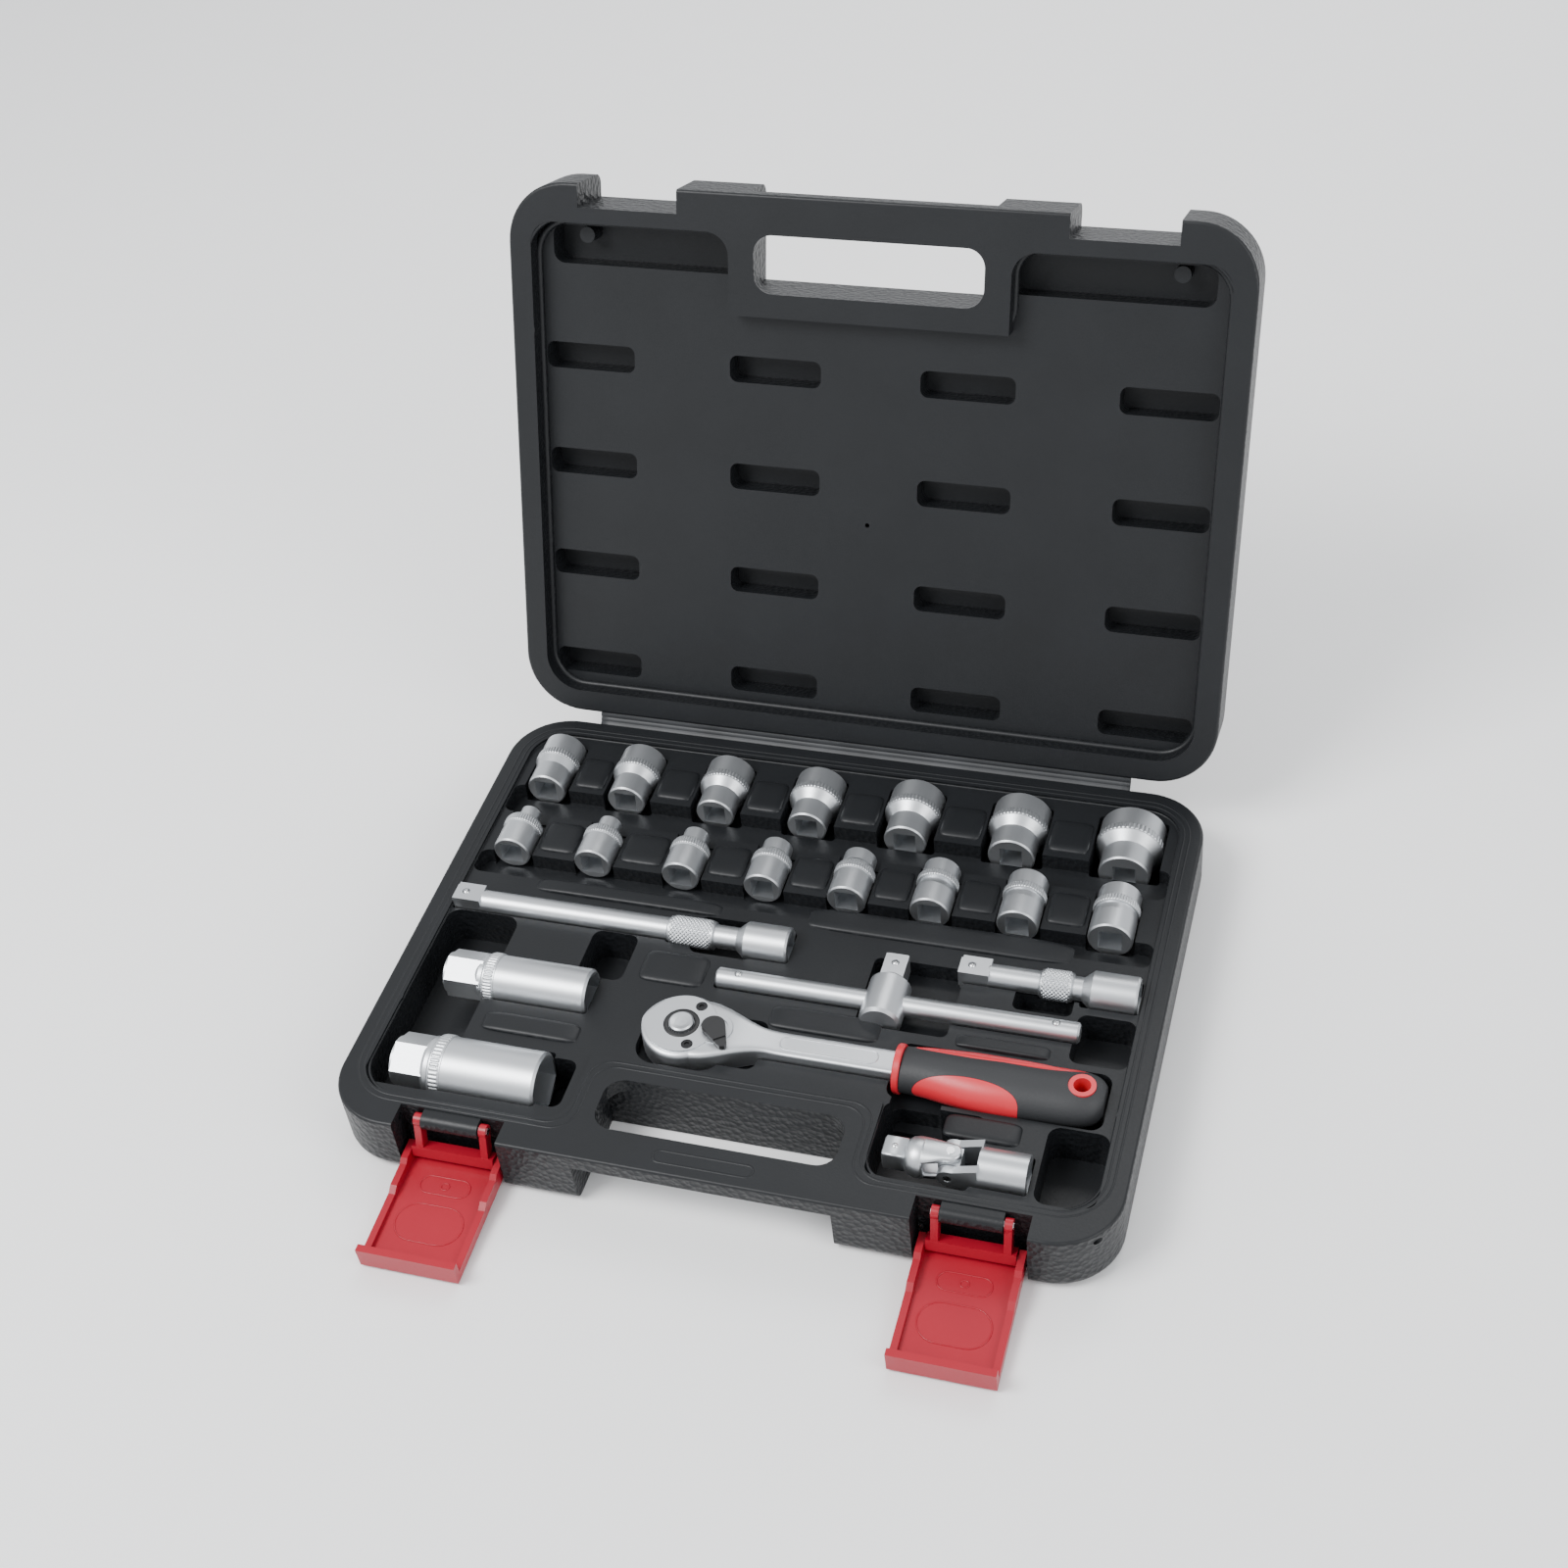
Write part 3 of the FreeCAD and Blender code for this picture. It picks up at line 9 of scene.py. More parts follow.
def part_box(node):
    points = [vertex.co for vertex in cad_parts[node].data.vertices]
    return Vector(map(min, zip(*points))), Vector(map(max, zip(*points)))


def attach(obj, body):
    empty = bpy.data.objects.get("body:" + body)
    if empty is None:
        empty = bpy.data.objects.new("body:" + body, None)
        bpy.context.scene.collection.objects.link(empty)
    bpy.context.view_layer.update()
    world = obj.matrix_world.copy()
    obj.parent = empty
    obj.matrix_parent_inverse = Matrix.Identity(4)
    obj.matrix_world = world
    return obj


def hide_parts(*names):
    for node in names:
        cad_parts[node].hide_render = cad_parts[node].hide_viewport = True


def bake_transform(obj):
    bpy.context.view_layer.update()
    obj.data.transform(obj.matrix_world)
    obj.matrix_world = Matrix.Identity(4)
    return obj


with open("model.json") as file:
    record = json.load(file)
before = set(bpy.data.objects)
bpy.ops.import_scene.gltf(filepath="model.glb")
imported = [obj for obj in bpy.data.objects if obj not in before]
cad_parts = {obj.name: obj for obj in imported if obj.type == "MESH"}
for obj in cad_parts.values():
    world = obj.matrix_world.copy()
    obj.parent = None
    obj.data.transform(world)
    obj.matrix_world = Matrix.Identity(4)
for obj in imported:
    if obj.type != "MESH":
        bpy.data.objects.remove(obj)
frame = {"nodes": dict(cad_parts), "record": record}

bl_info = {
    "name": "Socket set in case",
    "version": (1, 0, 0),
    "blender": (4, 5, 0),
    "location": "View3D > Sidebar > Socket set",
    "description": "Surfaces, finishes and studio stage for a socket wrench set in a blow-moulded case",
    "category": "Object",
}

MM = 0.001
RIM_Z = 28.0
OPEN = math.radians(109.4)
HINGE = np.array([0.0, 122.5, 29.7])
SHUT_GAP = 0.6              # between the two rims when the case is shut, mm
BEAD_OUT = (1.9, 4.3)       # the two rim beads, outside the dish edge, mm
HANDLE_Y = -112.0           # middle of the handle bar, mm
LATCH_X = 104.5             # latch centre either side of the middle, mm
LEVER_AXIS = (-115.798, 8.766)   # y and z of the lever's axis, mm
LEVER_TURN = math.radians(93.0)  # lever's turn from latched to hanging
LEVER_FACE = 3.12           # lever axis to the plate's inner face, mm
CROSS = np.array([91.9, -91.0, 27.0])  # universal joint's cross, mm
RATCHET_Z = 26.5            # ratchet centre line above the base, mm
GRIP_X = 63.7               # start of the grip's oval sections, mm
FIRST_BACK_SIZE = 14        # sockets from this size up lie in the back row


class CaseSettings(bpy.types.PropertyGroup):
    """Sizes (in metres, as Blender holds lengths) and colours of the moulded case."""
    half_width: bpy.props.FloatProperty(name="Half width", description="Half the case width",
                                        default=0.1585, precision=5, unit="LENGTH", subtype="DISTANCE")
    half_depth: bpy.props.FloatProperty(name="Half depth", description="Half the case depth",
                                        default=0.12, precision=5, unit="LENGTH", subtype="DISTANCE")
    band: bpy.props.FloatProperty(name="Rim band", description="Width of the flat rim",
                                  default=0.01, precision=5, unit="LENGTH", subtype="DISTANCE")
    bead: bpy.props.FloatProperty(name="Bead radius", description="Radius of the moulded rim bead",
                                  default=0.0009, precision=5, unit="LENGTH", subtype="DISTANCE")
    waist: bpy.props.FloatProperty(name="Waist", description="Inner edge behind the hand slot",
                                   default=-0.0693, precision=5, unit="LENGTH", subtype="DISTANCE")
    front: bpy.props.FloatProperty(name="Front edge", description="Inner edge behind the latches",
                                   default=-0.1035, precision=5, unit="LENGTH", subtype="DISTANCE")
    wing: bpy.props.FloatProperty(name="Wing", description="Inner edge beside the hand slot",
                                  default=0.06, precision=5, unit="LENGTH", subtype="DISTANCE")
    pads: bpy.props.StringProperty(
        name="Long pads", description="Name, centre x, centre y, length, width of each long pad, mm",
        default="rod_back,61,21,112,12;extension,-74,17,84,7.5;middle,-42,-18,28,17;plugs,-90,-60,42,10;"
                "shank,27,-34.5,46,12;grip_back,99,-32,38,6.5;joint,100,-73.5,30,11")
    black: bpy.props.FloatVectorProperty(name="Case black", description="Base colour of the shells",
                                         subtype="COLOR", default=(0.0085, 0.0095, 0.0110))
    fold: bpy.props.FloatVectorProperty(name="Fold grey", description="Stretched plastic along the fold",
                                        subtype="COLOR", default=(0.035, 0.037, 0.040))


class ToolSettings(bpy.types.PropertyGroup):
    """Sizes and colours of the tools."""
    ridges: bpy.props.IntProperty(name="Ridges", description="Straight knurl ridges round a socket",
                                  default=48, min=6)
    ridge_height: bpy.props.FloatProperty(name="Ridge height", description="Knurl height",
                                          default=0.00038, precision=5, unit="LENGTH", subtype="DISTANCE")
    diamonds: bpy.props.IntProperty(name="Diamonds", description="Diamond knurls round an extension",
                                    default=22, min=4)
    steel: bpy.props.FloatVectorProperty(name="Satin steel", description="Satin chrome colour", subtype="COLOR",
                                         default=(0.66, 0.68, 0.70))
    polished: bpy.props.FloatVectorProperty(name="Polished steel", description="Bright chrome colour",
                                            subtype="COLOR", default=(0.78, 0.79, 0.80))
    red: bpy.props.FloatVectorProperty(name="Latch red", description="Latch colour", subtype="COLOR",
                                       default=(0.33, 0.007, 0.020))
    grip_red: bpy.props.FloatVectorProperty(name="Grip red", description="Colour of the grip's inlays",
                                            subtype="COLOR", default=(0.62, 0.022, 0.035))
    rubber: bpy.props.FloatVectorProperty(name="Grip black", description="Soft grip colour", subtype="COLOR",
                                          default=(0.02, 0.021, 0.023))


# ------------------------------------------------------------------ materials
def node_material(name, base, rough, metal=0.0, wear=0.15, grain=400.0, bump=0.1, coat=0.0, wall_grain=0.0,
                  lean=0.0, streak=None, shine=0.5):
    """Procedural finish: noise in object space varies colour and roughness and raises a fine bump.

    wall_grain adds a leathery grain where the object-space normal, turned by lean about X, points sideways.
    streak stretches the noise along one axis for drawn or turned metal."""
    made = bpy.data.materials.new(name)
    made.use_nodes = True
    tree = made.node_tree
    nodes, links = tree.nodes, tree.links
    nodes.clear()
    out = nodes.new("ShaderNodeOutputMaterial")
    shade = nodes.new("ShaderNodeBsdfPrincipled")
    links.new(shade.outputs["BSDF"], out.inputs["Surface"])
    shade.inputs["Metallic"].default_value = metal
    shade.inputs["Coat Weight"].default_value = coat
    shade.inputs["Specular IOR Level"].default_value = shine
    shade.inputs["Coat Roughness"].default_value = 0.25
    coords = nodes.new("ShaderNodeTexCoord")
    place = nodes.new("ShaderNodeMapping")
    place.inputs["Scale"].default_value = streak or (1.0, 1.0, 1.0)
    links.new(coords.outputs["Object"], place.inputs["Vector"])
    broad = nodes.new("ShaderNodeTexNoise")
    broad.inputs["Scale"].default_value = 35.0
    broad.inputs["Detail"].default_value = 5.0
    fine = nodes.new("ShaderNodeTexNoise")
    fine.inputs["Scale"].default_value = grain
    fine.inputs["Detail"].default_value = 3.0
    links.new(place.outputs["Vector"], fine.inputs["Vector"])
    links.new(coords.outputs["Object"], broad.inputs["Vector"])
    tint = nodes.new("ShaderNodeMix")
    tint.data_type = "RGBA"
    light = tuple(min(1.0, c * (1.0 + wear)) for c in base)
    dark = tuple(c * (1.0 - wear) for c in base)
    tint.inputs[6].default_value = (*dark, 1.0)
    tint.inputs[7].default_value = (*light, 1.0)
    links.new(broad.outputs["Fac"], tint.inputs[0])
    links.new(tint.outputs[2], shade.inputs["Base Color"])
    spread = nodes.new("ShaderNodeMapRange")
    spread.inputs["To Min"].default_value = max(0.02, rough - 0.07)
    spread.inputs["To Max"].default_value = rough + 0.09
    links.new(fine.outputs["Fac"], spread.inputs["Value"])
    links.new(spread.outputs["Result"], shade.inputs["Roughness"])
    raise_fine = nodes.new("ShaderNodeBump")
    raise_fine.inputs["Strength"].default_value = bump
    raise_fine.inputs["Distance"].default_value = 0.0002
    links.new(fine.outputs["Fac"], raise_fine.inputs["Height"])
    last = raise_fine
    if wall_grain > 0.0:
        cells = nodes.new("ShaderNodeTexVoronoi")
        cells.inputs["Scale"].default_value = 420.0
        links.new(coords.outputs["Object"], cells.inputs["Vector"])
        turn = nodes.new("ShaderNodeVectorRotate")
        turn.rotation_type = "X_AXIS"
        turn.inputs["Angle"].default_value = lean
        links.new(coords.outputs["Normal"], turn.inputs["Vector"])
        parts = nodes.new("ShaderNodeSeparateXYZ")
        links.new(turn.outputs["Vector"], parts.inputs["Vector"])
        size = nodes.new("ShaderNodeMath")
        size.operation = "ABSOLUTE"
        links.new(parts.outputs["Z"], size.inputs[0])
        side = nodes.new("ShaderNodeMapRange")
        side.inputs["From Min"].default_value = 0.35
        side.inputs["From Max"].default_value = 0.6
        side.inputs["To Min"].default_value = wall_grain
        side.inputs["To Max"].default_value = 0.0
        links.new(size.outputs[0], side.inputs["Value"])
        raise_wall = nodes.new("ShaderNodeBump")
        raise_wall.inputs["Distance"].default_value = 0.0006
        links.new(side.outputs["Result"], raise_wall.inputs["Strength"])
        links.new(cells.outputs["Distance"], raise_wall.inputs["Height"])
        links.new(raise_fine.outputs["Normal"], raise_wall.inputs["Normal"])
        last = raise_wall
    links.new(last.outputs["Normal"], shade.inputs["Normal"])
    return made


def finish(name):
    """Material by slot name, made once."""
    known = bpy.data.materials.get("finish_" + name)
    if known:
        return known
    case, tool = bpy.context.scene.case_settings, bpy.context.scene.tool_settings_set
    recipes = {
        "case_black": dict(base=case.black, rough=0.42, wear=0.25, grain=900.0, bump=0.22, wall_grain=0.9,
                           shine=0.34),
        "lid_black": dict(base=case.black, rough=0.42, wear=0.25, grain=900.0, bump=0.22, wall_grain=0.9,
                          lean=OPEN, shine=0.34),
        "hinge_black": dict(base=case.fold, rough=0.5, wear=0.75, grain=500.0, bump=0.3,
                            streak=(0.08, 1.0, 1.0)),
        "pin_steel": dict(base=tool.polished, rough=0.22, metal=1.0, wear=0.08),
        "latch_red": dict(base=tool.red, rough=0.34, wear=0.10, grain=700.0, bump=0.08, shine=0.4),
        "socket_satin": dict(base=tool.steel, rough=0.40, metal=1.0, wear=0.03, grain=2500.0, bump=0.03),
        "insert_rubber": dict(base=tool.rubber, rough=0.7, wear=0.2, bump=0.3),
        "tool_chrome": dict(base=tool.steel, rough=0.38, metal=1.0, wear=0.03, grain=2500.0, bump=0.03),
        "ball_steel": dict(base=tool.polished, rough=0.12, metal=1.0, wear=0.04),
        "screw_black": dict(base=(0.03, 0.03, 0.032), rough=0.35, metal=0.7, wear=0.2),
        "lever_black": dict(base=(0.014, 0.014, 0.015), rough=0.4, wear=0.2, bump=0.15),
        "grip_black": dict(base=tool.rubber, rough=0.55, wear=0.15, grain=1200.0, bump=0.3),
        "grip_red": dict(base=tool.grip_red, rough=0.35, wear=0.08, bump=0.08, coat=0.1),
    }
    return node_material("finish_" + name, **recipes[name])


# ------------------------------------------------------------------ surfaces
def grid_piece(name, points, loop_u, loop_v, slot, body, replaces=()):
    """Mesh over a (rows, columns, 3) array of points in millimetres; each direction may close on itself."""
    rows, columns = points.shape[:2]
    index = np.arange(rows * columns).reshape(rows, columns)
    u = np.concatenate([index, index[:1]]) if loop_u else index
    u = np.concatenate([u, u[:, :1]], axis=1) if loop_v else u
    quads = np.stack([u[:-1, :-1], u[1:, :-1], u[1:, 1:], u[:-1, 1:]], axis=-1).reshape(-1, 4)
    mesh = bpy.data.meshes.new(name)
    mesh.from_pydata((points.reshape(-1, 3) * MM).tolist(), [], quads.tolist())
    mesh.polygons.foreach_set("use_smooth", np.full(len(mesh.polygons), True))
    mesh.update()
    mesh.materials.append(finish(slot))
    made = bpy.data.objects.new(name, mesh)
    bpy.context.scene.collection.objects.link(made)
    if replaces:
        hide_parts(*replaces)
    if body:
        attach(made, body)
    return made


def band_points(radius, start, long, height, sides, kind, steps=20):
    """Knurled band about its own axis: r = radius + height * wave(angle, along), along the local Z.

    kind "straight": wave = |sin(sides * a / 2)|; kind "diamond": product of two crossing helical ridges."""
    a = np.linspace(0, 2 * np.pi, sides * 8, endpoint=False)[None, :]
    t = np.linspace(0, 1, steps)[:, None]
    if kind == "straight":
        wave = np.abs(np.sin(a * sides / 2)) + 0 * t
    else:
        twist = long / radius * sides / 2.0
        wave = np.abs(np.sin(a * sides / 2 + t * twist)) * np.abs(np.sin(a * sides / 2 - t * twist)) * 1.4
    fade = np.clip(np.minimum(t, 1 - t) * 8, 0, 1)
    r = radius - 0.06 + height * wave * fade
    return np.stack([r * np.cos(a), r * np.sin(a), start + long * t + 0 * a], axis=-1)


def along_y(points, centre):
    """Turn a local +Z surface to +Y and move it."""
    return np.stack([points[..., 0], points[..., 2], -points[..., 1]], axis=-1) + np.array(centre)


def along_x(points, centre):
    """Turn a local +Z surface to +X and move it."""
    return np.stack([points[..., 2], points[..., 1], -points[..., 0]], axis=-1) + np.array(centre)


def corner(cx, cy, radius, start, end, count=14):
    """Arc of centre line points."""
    a = np.radians(np.linspace(start, end, count))
    return np.stack([cx + radius * np.cos(a), cy + radius * np.sin(a)], axis=-1)


def rim_path(case, out):
    """Closed outline of the dish, out millimetres outside it, curving round the hand slot."""
    band = case.band / MM
    x, y = case.half_width / MM - band + out, case.half_depth / MM - band + out
    r, q = 16.0 + out, 10.0
    f, w, n = case.front / MM - out, case.waist / MM - out, case.wing / MM - out
    turns = [
        corner(x - r, y - r, r, 0, 90), corner(-x + r, y - r, r, 90, 180), corner(-x + r, f + r, r, 180, 270),
        corner(-n - q, f + q, q, 270, 360), corner(-n + q, w - q, q, 180, 90), corner(n - q, w - q, q, 90, 0),
        corner(n + q, f + q, q, 180, 270), corner(x - r, f + r, r, 270, 360),
    ]
    return np.concatenate(turns)


def sweep(path, radius, level, squash=1.0, sides=12):
    """Round bead swept along a closed flat path: p + radius * (cos(b) * normal, squash * sin(b) * up)."""
    ahead = np.roll(path, -1, axis=0) - np.roll(path, 1, axis=0)
    ahead /= np.linalg.norm(ahead, axis=1, keepdims=True) + 1e-9
    normal = np.stack([ahead[:, 1], -ahead[:, 0]], axis=-1)
    b = np.linspace(0, 2 * np.pi, sides, endpoint=False)
    flat = path[:, None, :] + radius * np.cos(b)[None, :, None] * normal[:, None, :]
    up = np.broadcast_to(level + squash * radius * np.sin(b)[None, :], flat.shape[:2])
    return np.concatenate([flat, up[..., None]], axis=-1)


def to_lid(points):
    """Carry points drawn on the shut lid to where the open lid rests."""
    y, z = points[..., 1] - HINGE[1], points[..., 2] - HINGE[2]
    c, s = math.cos(OPEN), math.sin(OPEN)
    return np.stack([points[..., 0], HINGE[1] + y * c + z * s, HINGE[2] - y * s + z * c], axis=-1)


def pill(cx, cy, long, width):
    """Closed outline of a rounded bar."""
    r = width / 2
    reach = long / 2 - r
    return np.concatenate([corner(cx + reach, cy, r, -90, 90), corner(cx - reach, cy, r, 90, 270)])


def middle(node):
    lo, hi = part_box(node)
    lo, hi = np.array(lo) / MM, np.array(hi) / MM
    return lo, hi, (lo + hi) / 2


class SOCKETSET_OT_finishes(bpy.types.Operator):
    """Give every carried-over piece its procedural finish"""
    bl_idname = "socketset.finishes"
    bl_label = "Finishes"

    def execute(self, context):
        slots = {row["node"]: row["material_slot"] for row in frame["record"]["subparts"]}
        for name, piece in frame["nodes"].items():
            slot = "lid_black" if name == "lid_shell" else slots[name]
            made = finish(slot)
            if not piece.data.materials:
                piece.data.materials.append(made)
            for i in range(len(piece.data.materials)):
                piece.data.materials[i] = made
        return {"FINISHED"}


class SOCKETSET_OT_rims(bpy.types.Operator):
    """Moulded beads round the dish of the tray and of the lid, and the raised bars on both handles"""
    bl_idname = "socketset.rims"
    bl_label = "Rim beads"

    def execute(self, context):
        case = context.scene.case_settings
        for number, out in enumerate(BEAD_OUT):
            bead = sweep(rim_path(case, out), case.bead / MM, RIM_Z - 0.75)
            grid_piece("rim_bead_tray_%d" % number, bead, True, True, "case_black", "case")
        inner = sweep(rim_path(case, 0.2), 0.8, RIM_Z - 1.9)
        grid_piece("rim_step_tray", inner, True, True, "case_black", "case")
        for number, out in enumerate(BEAD_OUT):
            bead = to_lid(sweep(rim_path(case, out), case.bead / MM, RIM_Z + SHUT_GAP + 0.75))
            grid_piece("rim_bead_lid_%d" % number, bead, True, True, "lid_black", "lid")
        inner = to_lid(sweep(rim_path(case, -0.2), 1.6, RIM_Z + SHUT_GAP + 8.1))
        grid_piece("panel_cove_lid", inner, True, True, "lid_black", "lid")
        bar = sweep(pill(0.0, HANDLE_Y, 40.0, 5.6), 0.7, RIM_Z - 0.45)
        grid_piece("handle_mark_tray", bar, True, True, "case_black", "case")
        bar = to_lid(sweep(pill(0.0, HANDLE_Y, 40.0, 6.4), 0.7, RIM_Z + SHUT_GAP + 0.45))
        grid_piece("handle_mark_lid", bar, True, True, "lid_black", "lid")
        return {"FINISHED"}


def pad(name, cx, cy, long, width, rise=1.7):
    """Rolled-edge raised pad on the tray: centre + s * superellipse(a), height = rise * (1 - s^6)^(1/2).

    The superellipse is (sgn(cos a) |cos a|^p, sgn(sin a) |sin a|^p) with p = 0.32."""
    s = np.linspace(0.0, 1.0, 22)[:, None] ** 0.5
    a = np.linspace(0, 2 * np.pi, 96, endpoint=False)[None, :]
    ca, sa = np.cos(a), np.sin(a)
    x = cx + s * long / 2 * np.sign(ca) * np.abs(ca) ** 0.32
    y = cy + s * width / 2 * np.sign(sa) * np.abs(sa) ** 0.32
    z = RIM_Z - 1.75 + rise * np.sqrt(np.clip(1 - s ** 6, 0, 1)) + 0 * a
    grid_piece(name, np.stack([x, y, z], axis=-1), False, True, "case_black", "case")


class SOCKETSET_OT_pads(bpy.types.Operator):
    """Raised pads between the tool pockets of the tray"""
    bl_idname = "socketset.pads"
    bl_label = "Tray pads"

    def execute(self, context):
        sockets = [name for name in sorted(frame["nodes"]) if name.startswith("socket_")]
        rows = ([name for name in sockets if int(name[-2:]) < FIRST_BACK_SIZE],
                [name for name in sockets if int(name[-2:]) >= FIRST_BACK_SIZE])
        for row, deep in zip(rows, (18.0, 19.0)):
            for left, right in zip(row, row[1:]):
                a, b = middle(left), middle(right)
                space = b[0][0] - a[1][0] - 3.4
                pad("pad_" + left[-2:] + "_" + right[-2:], (a[1][0] + b[0][0]) / 2, a[0][1] + 13.5, space, deep)
        for place in context.scene.case_settings.pads.split(";"):
            name, *numbers = place.split(",")
            pad("pad_" + name, *(float(number) for number in numbers))
        return {"FINISHED"}


class SOCKETSET_OT_ratchet(bpy.types.Operator):
    """Pear-shaped frame (disc half width sqrt(r^2 - x^2), then eased by 3e^2 - 2e^3 into the shank), seal round
    the release button, and the red inlay along the top of the grip"""
    bl_idname = "socketset.ratchet"
    bl_label = "Ratchet details"

    def execute(self, context):
        cx, cy = middle("ratchet_button")[2][:2]
        top = 33.0
        a = np.linspace(0, 2 * np.pi, 96, endpoint=False)[None, :]
        profile = np.array([(5.25, -0.75), (5.25, -0.2), (5.6, 0.05), (6.3, 0.12), (7.0, 0.05), (7.3, -0.2),
                            (7.3, -0.75)])
        r, z = profile[:, :1], profile[:, 1:]
        ring = np.stack([cx + r * np.cos(a), cy + r * np.sin(a), top + z + 0 * a], axis=-1)
        grid_piece("button_seal", ring, False, True, "lever_black", "ratchet")
        k = np.linspace(0.0, 1.0, 220)[:, None]
        x = -16.48 + 104.3 * (0.7 * (1 - np.cos(np.pi * k / 2)) + 0.3 * k ** 2)
        q = np.sin(np.pi / 2 * np.linspace(-1, 1, 61))
        across = np.concatenate([q, q[-2:0:-1]])[None, :]
        height = np.clip(1 - np.abs(across) ** 7, 0, 1) ** (1 / 7)
        height[:, 61:] *= -1
        ease = np.clip((x - 7.0) / 30.0, 0, 1)
        ease = ease * ease * (3 - 2 * ease)
        disc = np.sqrt(np.clip(16.5 ** 2 - x ** 2, 0.0, None))
        half_y = np.maximum(disc * (x < 9.0), (14.9 + (5.9 - 14.9) * ease) * (x > 7.0))
        thin = np.clip((x - 20.0) / 24.0, 0, 1)
        half_z = 6.1 + (4.25 - 6.1) * thin * thin * (3 - 2 * thin)
        y, z = half_y * across, half_z * height
        seat = np.minimum(np.hypot(x, y) - 14.1, np.hypot(x - 13.6, y) - 7.2)
        z = np.where(z > 4.9, z + (4.9 - z) * np.clip(-seat / 0.5, 0, 1), z)
        frame_body = np.stack([cx + x + 0 * y, cy + y, RATCHET_Z + z], axis=-1)
        grid_piece("ratchet_frame", frame_body, False, True, "tool_chrome", "ratchet", ["ratchet_body"])
        panel = sweep(pill(cx + 61.0, cy, 40.0, 6.4), 0.3, 30.72)
        grid_piece("shank_panel", panel, True, True, "tool_chrome", "ratchet")
        along = np.array([0.0, 10.0, 28.0, 48.0, 65.0, 75.0])
        wide = np.array([9.8, 10.4, 12.4, 12.6, 12.2, 10.4])
        thick = np.array([8.2, 8.8, 9.3, 9.3, 9.0, 8.0])
        shift = np.array([0.0, 0.0, -0.8, -1.0, -0.8, -0.4])
        u = np.linspace(0.001, 0.999, 80)[:, None]
        v = np.linspace(-1, 1, 25)[None, :]
        at = 3.0 + 57.0 * u
        half = np.radians(19.0) * np.sin(np.pi * u ** 0.8) ** 0.7
        angle = np.radians(48.0) + half * v
        ends = np.sqrt(np.clip(1 - np.abs(2 * u - 1) ** 10, 0, 1))
        lift = 0.5 * np.sqrt(np.clip(1 - v ** 6, 0, 1)) * ends - 0.2
        a_half = np.interp(at, along, wide) + lift
        b_half = np.interp(at, along, thick) + lift
        points = np.stack([GRIP_X + at + 0 * v, cy + np.interp(at, along, shift) + a_half * np.cos(angle),
                           RATCHET_Z + b_half * np.sin(angle)], axis=-1)
        grid_piece("grip_inlay_top", points, False, False, "grip_red", "ratchet")
        return {"FINISHED"}


class SOCKETSET_OT_fork(bpy.types.Operator):
    """Fork of the universal joint: turned shoulder, two bullet-shaped ears under a crowned top
    z = sqrt(r^2 - y^2), and the bevelled drive square"""
    bl_idname = "socketset.fork"
    bl_label = "Joint fork"

    def execute(self, context):
        a = np.linspace(0, 2 * np.pi, 96, endpoint=False)[None, :]
        profile = np.array([(-17.3, 0.0), (-17.3, 5.2), (-16.6, 6.3), (-15.2, 7.4), (-13.2, 7.9), (-11.0, 8.0),
                            (-10.2, 7.8), (-10.2, 0.0)])
        x, r = profile[:, :1], profile[:, 1:]
        turned = np.stack([x + 0 * a, r * np.cos(a), r * np.sin(a)], axis=-1) + CROSS
        grid_piece("fork_shoulder", turned, False, True, "tool_chrome", "joint_drive", ["joint_fork"])
        w = 0.5 * (1 - np.cos(np.pi * np.linspace(0, 1, 40)))
        run = -10.9 + 15.1 * w
        taper = np.clip((run + 10.9) / 10.9, 0, 1)
        side = 6.1 + (4.0 - 6.1) * taper * taper * (3 - 2 * taper)
        tip = 4.0 * np.sqrt(np.clip(1 - (np.clip(run, 0, None) / 4.2) ** 2, 0.0, None))
        half = np.where(run > 0, tip, side)
        edge = np.concatenate([np.stack([run, half], -1), np.stack([run[::-1], -half[::-1]], -1)])
        for sign, tag, slim in ((1, "top", 1.0), (-1, "bottom", 0.78)):
            rows = []
            for scale, level in ((0.0, 0.0), (0.6, 0.0), (1.0, 0.0), (1.0, 0.55), (1.0, 0.85), (0.95, 0.96),
                                 (0.86, 1.0), (0.5, 1.0), (0.0, 1.0)):
                flat = edge * np.array([1.0, scale * slim])
                shrink = 1.0 - 0.06 * (level > 0.9)
                flat[:, 0] = -3.3 + (flat[:, 0] + 3.3) * shrink
                crown = np.sqrt(np.clip(8.0 ** 2 - flat[:, 1] ** 2, 9.0, None))
                crown = np.minimum(crown, 7.35)
                z = 4.5 + (np.maximum(crown, 4.9) - 4.5) * level
                rows.append(np.stack([flat[:, 0], flat[:, 1], sign * z], -1))
            grid_piece("fork_ear_" + tag, np.stack(rows) + CROSS, False, True, "tool_chrome", "joint_drive")
        s = np.array([(-26.15, 0.0), (-26.15, 3.9), (-25.4, 4.75), (-17.0, 4.75), (-17.0, 0.0)])
        ca, sa = np.cos(a), np.sin(a)
        square = np.stack([s[:, :1] + 0 * a, s[:, 1:] * np.sign(ca) * np.abs(ca) ** 0.16,
                           s[:, 1:] * np.sign(sa) * np.abs(sa) ** 0.16], axis=-1) + CROSS
        grid_piece("fork_square", square, False, True, "tool_chrome", "joint_drive")
        return {"FINISHED"}


